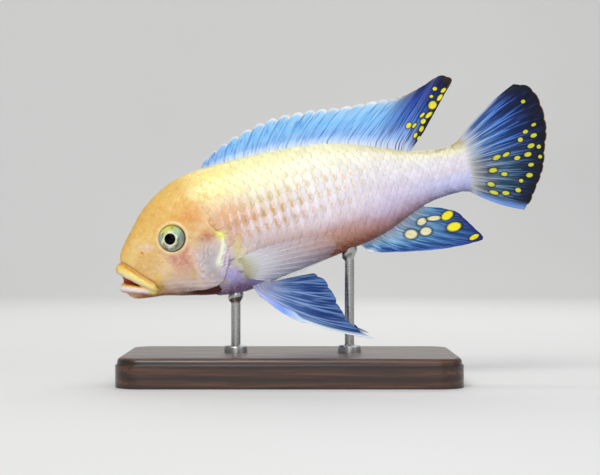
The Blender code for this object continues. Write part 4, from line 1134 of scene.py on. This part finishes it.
PECTORAL = (
    (0, 33.6, -8.4, 49.0, -7.3, 0.6),
    (2, 33.6, -9.6, 57.4, -8.2, 0.6),
    (4, 33.8, -10.9, 60.4, -11.2, 0.4),
    (6, 34.1, -12.1, 57.6, -14.4, 0.1),
    (8, 34.5, -13.2, 50.6, -16.4, -0.2),
    (10, 35.0, -14.2, 43.4, -17.2, -0.3),
)
PELVIC = (
    (0, 34.9, -17.6, 63.4, -38.4, -2.6),
    (1, 35.9, -17.6, 59.4, -34.2, -1.8),
    (2, 36.9, -17.5, 57.2, -29.6, -1.0),
    (3, 37.9, -17.4, 56.3, -25.0, -0.4),
    (4, 38.9, -17.3, 55.0, -20.6, 0.2),
    (5, 39.9, -17.1, 52.6, -17.9, 0.2),
)
DORSAL_SPINES = 17
BETWEEN_RAYS = (0.0, 0.035, 0.075, 0.125, 0.19, 0.28, 0.39, 0.5, 0.61, 0.72, 0.81, 0.875, 0.925, 0.965)
LOBE_DIP = ((0.0, 0.7), (0.05, 0.38), (0.14, 0.12), (0.3, 0.0), (0.5, 0.1))
LOBE_DIP += ((0.7, 0.36), (0.85, 0.66), (0.95, 1.0), (1.0, 0.7))
SOFT_DIP = ((0.0, 0.1), (0.15, 0.0), (0.35, 0.3), (0.5, 0.9), (0.65, 0.3), (0.85, 0.0), (1.0, 0.1))
MEMBRANE_HALF = 0.1
PECTORAL_SPREAD = math.radians(9.0)
PELVIC_SPREAD = math.radians(17.0)
TAIL_FORKS = (0.3, 0.24, True)


def edge_of_body(turn, s):
    """h of the back's or belly's middle line at s."""
    line = np.stack(body_surface(side_runs, turn), -1)
    return np.interp(s, line[:, 0], line[:, 2])


def ray_line(keys, position, r, drop):
    root_s, root_h, tip_s, tip_h, bow = np.moveaxis(smooth(keys, position), -1, 0)
    along_s, along_h = tip_s - root_s, tip_h - root_h
    length = np.hypot(along_s, along_h)
    r = r * (1 - drop / length)
    bow = bow * 4 * r * (1 - r) / length
    return root_s + along_s * r - along_h * bow, root_h + along_h * r + along_s * bow, length * r


def dip_at(curve, position):
    table = np.array(curve)
    return np.interp(position - np.floor(position), table[:, 0], table[:, 1])


def ray_ridges(position, r, spines, fork=0.42, spread=0.2, forks_twice=False):
    """How much a point stands on a ray, 1 on its crest, and the ray's fork towards the edge."""
    nearest = np.round(position)
    off = position - nearest
    spiny = nearest < spines
    wide = np.where(spiny, 0.085 - 0.045 * r, 0.07 - 0.025 * r)
    apart = np.where(spiny, 0.0, spread * np.clip((r - fork) / (1 - fork), 0, 1))
    ridge = np.maximum(hump(off - apart, wide), hump(off + apart, wide))
    if forks_twice:
        second = 0.09 * np.clip((r - 0.7) / 0.3, 0, 1) * np.where(spiny, 0, 1)
        for sign in (-1, 1):
            for split in (-1, 1):
                branch = hump(off - sign * apart - split * second, 0.8 * wide)
                ridge = np.where(r > 0.7, np.maximum(ridge * eased(r, 0.78, 0.7), branch), ridge)
    return ridge


def fin_sheet(name, last, rows, point, half, ridge):
    """A closed sheet. point gives its middle (s, y, h) and half its half thickness at (position, r)."""
    columns = np.array([i + f for i in range(last) for f in BETWEEN_RAYS] + [last])
    position, r = np.meshgrid(columns, np.linspace(0, 1, rows + 1), indexing="ij")
    middle = place(*point(position, r))
    face = np.cross(np.gradient(middle, axis=0), np.gradient(middle, axis=1))
    face /= np.maximum(np.linalg.norm(face, axis=-1), 1e-9)[..., None]
    thick = half(position, r)[..., None]
    faces = sheet_faces(len(columns), rows + 1)
    points = np.stack([middle + face * thick, middle - face * thick]).reshape(-1, 3)
    made = piece(name, points, faces)
    both = [np.tile(a.ravel(), 2) for a in (position, r, ridge(position, r))]
    set_masks(made, ray_place=both[0], ray_share=both[1], ray_ridge=both[2])
    return made


def middle_fin(name, keys, turn, spines, dip, rows, root_half):
    """A fin in the body's middle plane, with its root sunk in the back or belly."""
    sink = -0.5 if turn == 0 else 0.5
    keys = [(k[0], k[1], edge_of_body(turn, k[1]), *k[2:]) for k in keys]
    last = keys[-1][0]

    def point(position, r):
        s, h, _ = ray_line(keys, position, r, dip(position))
        h = h + (edge_of_body(turn, s) + sink - h) * eased(r, 0.06, 0.0)
        sway = 0.13 * np.cos(math.pi * position) * eased(r, 0.1, 0.7)
        return s, sway * eased(position, last, last - 2) * eased(position, 0, 1.5), h

    def half(position, r):
        ends = np.clip(0.4 + 0.3 * np.minimum(position, last - position), 0, 1)
        membrane = MEMBRANE_HALF + (root_half * ends - MEMBRANE_HALF) * np.clip(1 - 4.0 * r, 0, 1) ** 1.5
        ridge = ray_ridges(position, r, spines) * np.where(position < spines, 0.2, 0.14)
        return (membrane + ridge * (1 - 0.55 * r)) * (1 - 0.45 * eased(r, 0.95, 1.0))

    return fin_sheet(name, last, rows, point, half, lambda p, r: ray_ridges(p, r, spines))


def dorsal_dip(position):
    depth = 1.9 - 1.0 * position / DORSAL_SPINES
    return np.where(position < DORSAL_SPINES, depth * dip_at(LOBE_DIP, position), soft_dip(position))


def soft_dip(position):
    return 0.3 * dip_at(SOFT_DIP, position)


def make_tail_fin():
    def point(position, r):
        s, h, _ = ray_line(TAIL_FIN, position, r, 1.2 * soft_dip(position))
        s = s - 1.2 * eased(r, 0.05, 0.0)
        return s, 0.12 * np.cos(math.pi * position) * eased(r, 0.2, 1.0), h

    def half(position, r):
        stalk = 1.4 * np.sqrt(np.maximum(0.0, 1 - ((position - 6) / 6.6) ** 2))
        membrane = np.maximum(MEMBRANE_HALF, stalk * (1 - 3.6 * r))
        ridge = ray_ridges(position, r, 0, *TAIL_FORKS)
        raised = 0.17 * ridge * (1 - 0.5 * r) * eased(r, 0.02, 0.1)
        return (membrane + raised) * (1 - 0.4 * eased(r, 0.96, 1.0))

    return fin_sheet("fish_tail_fin", 12, 84, point, half, lambda p, r: ray_ridges(p, r, 0, *TAIL_FORKS))


def make_pectoral(name, side):
    def point(position, r):
        root_s, root_h, *_ = np.moveaxis(smooth(PECTORAL, position), -1, 0)
        s, h, length = ray_line(PECTORAL, position, r, soft_dip(position))
        root = flank_y(root_s, root_h)
        clear = np.maximum(root + 0.25 + length * math.tan(PECTORAL_SPREAD), flank_y(s, h) + 0.5)
        y = clear + (root - 0.4 - clear) * eased(r, 0.09, 0.0)
        return s, side * y, h

    def half(position, r):
        membrane = MEMBRANE_HALF * 0.8 + 0.35 * np.clip(1 - 5 * r, 0, 1)
        raised = 0.13 * ray_ridges(position, r, 1) * (1 - 0.6 * r)
        return membrane + raised * (0.05 + 0.95 * eased(r, 0.12, 0.32))

    return fin_sheet(name, 10, 60, point, half, lambda p, r: ray_ridges(p, r, 1))


def make_pelvic(name, side):
    def point(position, r):
        s, h, length = ray_line(PELVIC, position, r, 3.0 * soft_dip(position))
        spine = 0.7 * eased(position, 0.7, 0.0) * eased(r, 0.08, 0.3) * eased(r, 0.5, 0.44)
        s, h = s - 0.55 * spine, h - 0.83 * spine
        y = 2.3 + length * math.sin(PELVIC_SPREAD)
        inside = edge_of_body(math.pi, s) + 1.15
        h = h + (inside - h) * eased(r, 0.07, 0.0)
        return s, side * y, h

    def half(position, r):
        membrane = MEMBRANE_HALF + 0.5 * np.clip(1 - 4 * r, 0, 1) ** 1.5
        ridge = ray_ridges(position, r, 1) * np.where(position < 0.5, 0.24, 0.15)
        return membrane + ridge * (1 - 0.6 * r)

    return fin_sheet(name, 5, 70, point, half, lambda p, r: ray_ridges(p, r, 1))


def fin_shader(name, jointed=0.4):
    """A fin's material, with what its paint is mixed from: place, position, share, ridge and joints."""
    varnish = {"Coat_Weight": 0.1, "Coat_Roughness": 0.2, "Specular_IOR_Level": 0.22}
    made, tree, shader = material_of(name, 0.34, **varnish)
    given = use(tree, fish_place)
    position, r, ridge = (mask_of(tree, label) for label in ("ray_place", "ray_share", "ray_ridge"))
    along = put(tree, "CombineXYZ", times(tree, r, 1.4), times(tree, position, 3.0))
    streak = noise(tree, along, 1.6, 5.0)
    joints = math_of(tree, "SINE", times(tree, r, 260.0))
    grain = noise(tree, given["Place"], 5.0, 3.0)
    height = math_of(tree, "MULTIPLY_ADD", times(tree, joints, ridge), jointed, grain)
    tree.links.new(bumped(tree, height, 0.00005, 0.6), shader.inputs["Normal"])
    tree.links.new(ramped(tree, streak, 0.3, 0.7, 0.28, 0.44), shader.inputs["Roughness"])
    return made, tree, shader, given, position, r, ridge, streak


def spotted(tree, colour, place_of, spots, fill_colour, ring):
    """Egg spots: pale yellow ovals in dark rings. Each is its place, half size and turn."""
    for at, size, turn in spots:
        wide = tuple(x * 1.35 + 0.1 for x in size)
        halo = times(tree, patch_mask(tree, place_of, at, wide, turn, 0.25), 0.75)
        core = patch_mask(tree, place_of, at, size, turn, 0.22)
        colour = mixed(tree, halo, colour, ring)
        colour = mixed(tree, core, colour, fill_colour)
    return colour


DORSAL_SPOTS = (
    ((98.1, 22.9), (0.6, 0.5), 0),
    ((100.3, 21.9), (0.85, 0.45), 30),
    ((98.8, 20.2), (1.05, 0.5), 38),
    ((96.6, 21.1), (0.5, 0.4), 0),
    ((96.3, 18.7), (1.15, 1.0), 30),
    ((94.6, 16.3), (1.15, 0.5), 27),
    ((92.8, 16.75), (0.85, 0.35), 30),
    ((92.6, 15.0), (0.75, 0.6), 30),
    ((89.9, 14.5), (0.8, 0.35), 35),
    ((88.4, 14.9), (0.85, 0.6), 35),
    ((91.6, 13.1), (0.85, 0.5), 45),
    ((89.5, 11.8), (0.75, 0.42), 45),
    ((90.2, 10.8), (0.6, 0.35), 45),
)
TAIL_SPOTS = (
    ((121.3, 13.3), (0.6, 0.5), 0),
    ((122.5, 6.3), (0.7, 0.4), 10),
    ((119.7, 5.0), (0.75, 0.5), 5),
    ((117.7, 3.2), (0.7, 0.6), 0),
    ((121.7, 3.4), (0.9, 0.55), 5),
    ((120.2, 0.8), (1.0, 0.6), 5),
    ((122.3, 0.0), (0.6, 0.55), 0),
    ((109.9, 0.1), (1.15, 0.6), 10),
    ((112.7, 0.2), (1.0, 0.5), 15),
    ((115.5, -1.5), (0.85, 0.55), 0),
    ((118.7, -1.3), (1.0, 0.6), 0),
    ((121.9, -2.8), (0.55, 0.5), 0),
    ((118.8, -4.3), (0.8, 0.5), -5),
    ((108.0, -3.1), (1.1, 0.65), -5),
    ((110.8, -4.9), (0.85, 0.55), -15),
    ((117.6, -7.0), (0.9, 0.6), -10),
    ((114.9, -7.9), (0.6, 0.5), -20),
    ((106.4, -6.7), (1.0, 0.6), -25),
    ((113.4, -10.2), (0.8, 0.6), -30),
    ((106.6, -9.1), (1.25, 0.5), -30),
    ((109.8, -10.1), (1.0, 0.55), -20),
)
ANAL_SPOTS = (
    ((81.2, -14.3), (1.65, 1.2), -12),
    ((85.4, -14.6), (1.5, 1.05), -5),
    ((85.0, -11.7), (1.3, 0.9), 10),
    ((88.6, -11.7), (1.9, 0.62), -10),
)
ANAL_BRIGHT = (
    ((92.3, -11.9), (1.65, 1.05), 15),
    ((93.3, -15.4), (1.9, 1.15), 0),
    ((98.0, -19.6), (1.35, 0.6), 10),
)


def make_dorsal_paint():
    made, tree, shader, given, position, r, ridge, streak = fin_shader("back_fin_resin")
    place_of = given["Place"]
    blue = shades(
        tree, r, (0.0, 228, 232, 238), (0.07, 182, 206, 238), (0.2, 138, 184, 236), (0.55, 124, 192, 246),
        (0.82, 148, 202, 244), (1.0, 190, 214, 236),
    )
    blue = mixed(tree, ramped(tree, position, 4.0, 0.5, 0.0, 0.6), blue, rgb(140, 166, 224))
    blue = mixed(tree, ramped(tree, streak, 0.5, 0.72, 0.0, 0.5), blue, rgb(190, 220, 250))
    blue = mixed(tree, ramped(tree, streak, 0.48, 0.32, 0.0, 0.75), blue, rgb(66, 120, 206))
    line = times(tree, ridge, ramped(tree, r, 0.05, 0.3, 0.1, 0.4))
    blue = mixed(tree, line, blue, rgb(66, 116, 190))
    crest = ramped(tree, r, 0.88, 0.98)
    blue = mixed(tree, times(tree, crest, 0.8), blue, rgb(226, 236, 246))
    blue = mixed(tree, times(tree, ramped(tree, r, 0.978, 0.996), 0.75), blue, rgb(230, 196, 110))
    deep = shades(
        tree, r, (0.0, 214, 220, 236), (0.15, 140, 174, 232), (0.4, 72, 124, 214), (0.75, 36, 72, 176),
        (1.0, 18, 30, 84),
    )
    deep = mixed(tree, ramped(tree, streak, 0.52, 0.4, 0.0, 0.8), deep, rgb(16, 30, 84))
    deep = mixed(tree, times(tree, ridge, ramped(tree, r, 0.1, 0.5)), deep, rgb(12, 20, 60))
    back = math_of(tree, "MULTIPLY_ADD", r, 1.5, position)
    colour = mixed(tree, ramped(tree, back, 16.5, 20.5), blue, deep)
    rear = ramped(tree, math_of(tree, "MULTIPLY_ADD", r, 1.3, position), 21.6, 23.2)
    dark = shades(
        tree, r, (0.0, 150, 160, 190), (0.25, 44, 54, 90), (0.6, 10, 13, 30), (0.9, 9, 8, 14),
        (1.0, 60, 38, 20),
    )
    colour = mixed(tree, times(tree, rear, ramped(tree, r, 0.0, 0.3)), colour, dark)
    colour = spotted(tree, colour, place_of, DORSAL_SPOTS, rgb(232, 222, 34), rgb(6, 7, 14))
    tree.links.new(colour, shader.inputs["Base Color"])
    return made


def make_tail_paint():
    made, tree, shader, given, position, r, ridge, streak = fin_shader("tail_fin_resin")
    place_of = given["Place"]
    upper = shades(
        tree, r, (0.0, 222, 220, 214), (0.1, 186, 190, 196), (0.28, 66, 100, 156), (0.5, 26, 60, 124),
        (0.7, 14, 34, 84), (0.85, 6, 14, 44), (1.0, 8, 8, 18),
    )
    lower = shades(
        tree, r, (0.0, 222, 220, 214), (0.1, 180, 182, 182), (0.3, 80, 92, 108), (0.55, 34, 72, 98),
        (0.8, 12, 30, 58), (1.0, 8, 10, 20),
    )
    base = mixed(tree, ramped(tree, position, 3.6, 7.5), upper, lower)
    bright = shades(
        tree, r, (0.0, 236, 234, 226), (0.2, 184, 204, 228), (0.42, 104, 158, 232), (0.66, 58, 112, 208),
        (0.84, 20, 44, 110), (1.0, 12, 14, 32),
    )
    dull = shades(
        tree, r, (0.0, 232, 230, 222), (0.2, 176, 184, 196), (0.5, 120, 146, 180), (0.75, 66, 98, 148),
        (0.9, 22, 34, 64), (1.0, 12, 12, 20),
    )
    bright = mixed(tree, ramped(tree, position, 3.6, 7.5), bright, dull)
    lit = ramped(tree, streak, 0.5, 0.66, 0.0, 0.85)
    raised = math_of(tree, "MAXIMUM", ramped(tree, ridge, 0.15, 0.8), lit)
    colour = mixed(tree, raised, base, bright)
    shade = times(tree, ramped(tree, streak, 0.44, 0.3), ramped(tree, r, 0.06, 0.2))
    colour = mixed(tree, shade, colour, rgb(22, 30, 50))
    low = times(tree, ramped(tree, position, 11.1, 11.9), ramped(tree, r, 0.05, 0.3))
    colour = mixed(tree, times(tree, low, 0.85), colour, rgb(120, 160, 232))
    top = times(tree, ramped(tree, position, 0.4, 0.05), ramped(tree, r, 0.8, 0.5))
    colour = mixed(tree, times(tree, top, 0.8), colour, rgb(196, 204, 220))
    rim = times(tree, ramped(tree, r, 0.988, 0.995), ramped(tree, position, 0.6, 3.0))
    colour = mixed(tree, times(tree, rim, 0.8), colour, rgb(150, 100, 40))
    hide = use(tree, fish_paint, Place=place_of)["Colour"]
    colour = mixed(tree, ramped(tree, r, 0.15, 0.01), colour, hide)
    colour = spotted(tree, colour, place_of, TAIL_SPOTS, rgb(204, 206, 62), rgb(6, 8, 14))
    tree.links.new(colour, shader.inputs["Base Color"])
    return made


def make_anal_paint():
    made, tree, shader, given, position, r, ridge, streak = fin_shader("vent_fin_resin")
    place_of = given["Place"]
    base = shades(
        tree, r, (0.0, 136, 142, 160), (0.2, 84, 134, 178), (0.55, 32, 78, 138), (0.85, 16, 44, 100),
        (1.0, 20, 34, 108),
    )
    lit = shades(
        tree, r, (0.0, 190, 206, 220), (0.4, 138, 196, 240), (0.75, 84, 140, 212), (1.0, 50, 88, 180),
    )
    raised = math_of(tree, "MAXIMUM", ramped(tree, ridge, 0.15, 0.8), ramped(tree, streak, 0.44, 0.62))
    base = mixed(tree, times(tree, raised, ramped(tree, position, 8.0, 2.0, 0.45, 1.0)), base, lit)
    border = mixed(tree, ramped(tree, position, 3.0, 6.0), rgb(86, 130, 216), rgb(24, 30, 116))
    base = mixed(tree, ramped(tree, r, 0.88, 0.97, 0.0, 0.8), base, border)
    lead = times(tree, ramped(tree, position, 0.9, 0.1), ramped(tree, r, 0.3, 0.8))
    base = mixed(tree, lead, base, rgb(232, 238, 246))
    base = spotted(tree, base, place_of, ANAL_SPOTS, rgb(234, 226, 180), rgb(6, 9, 20))
    base = spotted(tree, base, place_of, ANAL_BRIGHT, rgb(246, 232, 36), rgb(6, 8, 16))
    tree.links.new(base, shader.inputs["Base Color"])
    return made


def make_pelvic_paint():
    made, tree, shader, _, position, r, ridge, streak = fin_shader("belly_fin_resin")
    base = shades(
        tree, r, (0.0, 200, 196, 222), (0.12, 136, 156, 206), (0.4, 64, 96, 156), (0.75, 24, 56, 122),
        (1.0, 22, 54, 116),
    )
    lit = shades(tree, r, (0.0, 210, 210, 236), (0.4, 138, 172, 222), (1.0, 92, 134, 194))
    bright = ramped(tree, streak, 0.46, 0.64, 0.0, 0.9)
    raised = math_of(tree, "MAXIMUM", ramped(tree, ridge, 0.1, 0.7), bright)
    base = mixed(tree, times(tree, raised, 0.85), base, lit)
    wide = math_of(tree, "ADD", position, ramped(tree, r, 0.4, 0.5, 0.0, 0.55))
    lead = ramped(tree, wide, 1.05, 0.6)
    front = shades(
        tree, r, (0.0, 190, 196, 236), (0.3, 132, 168, 250), (0.5, 222, 242, 252), (1.0, 216, 226, 234),
    )
    base = mixed(tree, lead, base, front)
    tree.links.new(base, shader.inputs["Base Color"])
    return made


# How much the breast fin's membrane and its rays hide, at shares of a ray's length
THIN_COVER = ((0.0, 0.8), (0.16, 0.58), (0.5, 0.2), (0.8, 0.09), (1.0, 0.04))
RAY_COVER = ((0.0, 1.0), (0.2, 0.68), (0.5, 0.4), (0.8, 0.22), (1.0, 0.12))


def make_pectoral_paint():
    made, tree, shader, _, _, r, ridge, streak = fin_shader("breast_fin_resin", 0.0)
    base = shades(
        tree, r, (0.0, 216, 206, 146), (0.09, 224, 222, 196), (0.22, 246, 247, 255), (1.0, 206, 210, 236),
    )
    lines = times(tree, ridge, ramped(tree, r, 0.06, 0.26, 0.2, 0.6))
    base = mixed(tree, lines, base, rgb(246, 246, 250))
    tree.links.new(base, shader.inputs["Base Color"])
    bright = ramped(tree, streak, 0.5, 0.7, 0.0, 0.6)
    raised = math_of(tree, "MAXIMUM", ramped(tree, ridge, 0.05, 0.7), bright)
    covers = (THIN_COVER, RAY_COVER)
    thin, thick = (ramp(tree, r, [(at, (c, c, c, 1)) for at, c in cover]) for cover in covers)
    tree.links.new(mixed(tree, raised, thin, thick), shader.inputs["Alpha"])
    return made


dorsal = middle_fin("fish_dorsal_fin", DORSAL, 0, DORSAL_SPINES, dorsal_dip, 50, 0.75)
anal = middle_fin("fish_anal_fin", ANAL, math.pi, 3, soft_dip, 50, 0.65)
for made, paint, node in (
    (dorsal, make_dorsal_paint(), "dorsal_fin"),
    (anal, make_anal_paint(), "anal_fin"),
    (make_tail_fin(), make_tail_paint(), "tail_fin"),
):
    made.data.materials.append(paint)
    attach(made, "root")
    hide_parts(node)
pectoral_paint = make_pectoral_paint()
pelvic_paint = make_pelvic_paint()
for name, side in (("left", -1), ("right", 1)):
    for made, paint, node in (
        (make_pectoral("fish_pectoral_fin_" + name, side), pectoral_paint, "pectoral_fin_" + name),
        (make_pelvic("fish_pelvic_fin_" + name, side), pelvic_paint, "pelvic_fin_" + name),
    ):
        made.data.materials.append(paint)
        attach(made, "root")
        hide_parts(node)

# Base: a block of dark stained hardwood with rounded corners, its top edge moulded with a small
# step and a round, waxed, with the grain running lengthwise.
BASE_SIZE = (92.0, 52.0)
BASE_HEIGHT = 8.0
BASE_CORNER = 7.0
BASE_ROUND = 1.3
BASE_PROFILE = ((0.3, 0.0), (0.0, 0.3), (0.0, 5.9), (0.12, 6.05), (0.45, 6.1), (0.5, 6.2), (0.5, 6.7))


def rounded_outline(inset, steps=16):
    corner = BASE_CORNER - inset
    points = []
    for quarter, (sx, sy) in enumerate(((1, 1), (-1, 1), (-1, -1), (1, -1))):
        for turn in np.linspace(0, math.pi / 2, steps + 1) + quarter * math.pi / 2:
            x = sx * (BASE_SIZE[0] / 2 - inset - corner) + corner * math.cos(turn)
            points.append((x, sy * (BASE_SIZE[1] / 2 - inset - corner) + corner * math.sin(turn)))
    return np.array(points)


def make_base():
    profile = list(BASE_PROFILE)
    inset, start = BASE_PROFILE[-1]
    for turn in np.linspace(0.1, math.pi / 2, 9):
        profile.append((inset + BASE_ROUND * (1 - math.cos(turn)), start + BASE_ROUND * math.sin(turn)))
    profile += [(4.0, BASE_HEIGHT), (6.5, BASE_HEIGHT)]
    rings = []
    for inset, z in profile:
        outline = rounded_outline(inset)
        rings.append(np.column_stack([outline, np.full(len(outline), z)]))
    made = lofted("display_base", np.array(rings))
    made.data.set_sharp_from_angle(angle=math.radians(35))
    return made


def make_wood():
    made, tree, shader = material_of("dark_wood", Coat_Weight=0.35, Coat_Roughness=0.25)
    spot = put(tree, "TexCoord", out=3)
    stretched = put(tree, "VectorMath", spot, (9.0, 90.0, 90.0), operation="MULTIPLY")
    rings = put(tree, "TexWave", stretched, 1.1, 5.0, 3.0, 1.4, bands_direction="Z")
    fibres = put(tree, "VectorMath", spot, (60.0, 1500.0, 1500.0), operation="MULTIPLY")
    fibre = noise(tree, fibres, 1.0, 5.0)
    colour = shades(tree, rings, (0.0, 44, 24, 15), (0.5, 66, 38, 24), (1.0, 92, 56, 35))
    colour = mixed(tree, ramped(tree, fibre, 0.4, 0.62, 0.6, 0.0), colour, rgb(28, 15, 10))
    tree.links.new(colour, shader.inputs["Base Color"])
    tree.links.new(ramped(tree, fibre, 0.3, 0.7, 0.42, 0.3), shader.inputs["Roughness"])
    height = math_of(tree, "MULTIPLY_ADD", rings, 0.3, fibre)
    tree.links.new(bumped(tree, height, 0.00008, 0.5), shader.inputs["Normal"])
    return made


base = make_base()
base.data.materials.append(make_wood())
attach(base, "root")
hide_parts("stand_base")

# Rods: turned steel, brushed, each screwed into the base through a round collar, with a small
# pad of the same steel under the belly, shaped to it.
ROD_AT = ((-14.9, 0.0), (16.4, 0.5))
ROD_SIDES = 64
ROD_RADIUS = 1.3
COLLAR_RADIUS = 3.2
COLLAR_HEIGHT = 1.5
COLLAR_ROUND = 0.6
PAD_RADIUS = 2.1
# Radius of a rod's neck and pad, and how far under the skin of the belly
ROD_NECK = ((ROD_RADIUS, 3.4), (ROD_RADIUS, 2.7), (1.5, 2.2), (1.95, 1.6), (PAD_RADIUS, 1.35))
ROD_PAD = ((PAD_RADIUS, 0.35), (2.0, 0.12), (1.0, -0.05))


def make_rod(name, at):
    turns = np.linspace(0, 2 * math.pi, ROD_SIDES, endpoint=False)
    belly = BVHTree.FromObject(skin, bpy.context.evaluated_depsgraph_get())

    def ring(radius, z, below=None):
        x, y = at[0] + radius * np.cos(turns), at[1] + radius * np.sin(turns)
        if below is not None:
            starts = [Vector((a * MM, b * MM, 0.002)) for a, b in zip(x, y)]
            hits = [belly.ray_cast(start, Vector((0, 0, 1)))[0] for start in starts]
            z = np.array([hit.z / MM for hit in hits]) - below
        return np.column_stack([x, y, np.broadcast_to(z, x.shape)])

    foot = BASE_HEIGHT - 0.3
    shoulder = foot + COLLAR_HEIGHT
    rings = [ring(COLLAR_RADIUS, foot), ring(COLLAR_RADIUS, shoulder)]
    for turn in np.linspace(0.2, math.pi / 2, 6):
        radius = COLLAR_RADIUS - COLLAR_ROUND + COLLAR_ROUND * math.cos(turn)
        rings.append(ring(radius, shoulder + COLLAR_ROUND * math.sin(turn)))
    rings += [ring(1.55, foot + 2.1), ring(ROD_RADIUS, foot + 2.35)]
    rings += [ring(radius, 0, below) for radius, below in ROD_NECK + ROD_PAD]
    made = lofted(name, np.array(rings))
    made.data.set_sharp_from_angle(angle=math.radians(35))
    return made


def make_steel():
    made, tree, shader = material_of("brushed_steel", 0.3, Metallic=1.0)
    spot = put(tree, "TexCoord", out=3)
    brushed = put(tree, "VectorMath", spot, (700.0, 700.0, 22000.0), operation="MULTIPLY")
    line = noise(tree, brushed, 1.0, 3.0)
    colour = shades(tree, line, (0.3, 168, 168, 166), (0.7, 200, 200, 198))
    tree.links.new(colour, shader.inputs["Base Color"])
    tree.links.new(ramped(tree, line, 0.3, 0.7, 0.24, 0.36), shader.inputs["Roughness"])
    tree.links.new(bumped(tree, line, 0.00002, 0.5), shader.inputs["Normal"])
    return made


steel = make_steel()
for name, at in zip(("front", "rear"), ROD_AT):
    rod = make_rod("display_rod_" + name, at)
    rod.data.materials.append(steel)
    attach(rod, "root")
    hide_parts("stand_rod_" + name)

# Studio: a pale sweep, soft lights and a camera square to the fish's left side.
def area_light(name, at, aim, size, power):
    data = bpy.data.lights.new(name, "AREA")
    data.shape = "RECTANGLE"
    data.size, data.size_y = size
    data.energy = power
    light = bpy.data.objects.new(name, data)
    light.location = at
    light.rotation_euler = (Vector(aim) - Vector(at)).to_track_quat("-Z", "Y").to_euler()
    bpy.context.scene.collection.objects.link(light)


for name, at, aim, size, power in (
    ("key_light", (-0.16, -0.5, 0.58), (0.0, 0.0, 0.045), (0.4, 0.3), 3.3),
    ("front_light", (0.0, -0.95, 0.3), (0.0, 0.0, 0.045), (0.5, 0.4), 1.3),
    ("fill_light", (0.55, -0.35, 0.3), (0.0, 0.0, 0.04), (0.4, 0.4), 0.5),
    ("rim_light", (0.1, 0.45, 0.5), (0.0, 0.0, 0.05), (0.5, 0.3), 1.2),
    ("backdrop_light", (0.0, 0.3, 0.8), (0.0, 0.85, 0.2), (0.9, 0.3), 3.0),
):
    area_light(name, at, aim, size, power)
world = bpy.data.worlds.new("studio")
world.use_nodes = True
world.node_tree.nodes["Background"].inputs[0].default_value = (0.94, 0.96, 1.0, 1)
world.node_tree.nodes["Background"].inputs[1].default_value = 0.3
bpy.context.scene.world = world
bpy.context.scene.view_settings.view_transform = "Standard"


def make_sweep():
    depth, wall, bend = 0.9, 0.7, 0.25
    profile = [(-1.2, 0.0)]
    for turn in np.linspace(0, math.pi / 2, 24):
        profile.append((depth - bend + bend * math.sin(turn), bend - bend * math.cos(turn)))
    profile.append((depth, wall))
    rows = np.array([[(x, y, z) for y, z in profile] for x in np.linspace(-1.5, 1.5, 2)])
    return piece("studio_sweep", rows.reshape(-1, 3), grid_faces(2, len(profile)), unit=1.0)


sweep = make_sweep()
pale, tree, shader = material_of("sweep_paper", 0.7)
tint = noise(tree, put(tree, "TexCoord", out=3), 3.0, 3.0)
tint = shades(tree, tint, (0.3, 214, 214, 212), (0.7, 220, 220, 218))
tree.links.new(tint, shader.inputs["Base Color"])
sweep.data.materials.append(pale)
camera_data = bpy.data.cameras.new("camera")
camera_data.lens = 100.0
camera_data.sensor_width = 36.0
camera = bpy.data.objects.new("camera", camera_data)
camera.location = (0.00276, -0.459, 0.0395)
camera.rotation_euler = (math.radians(90), 0, 0)
bpy.context.scene.collection.objects.link(camera)
bpy.context.scene.camera = camera
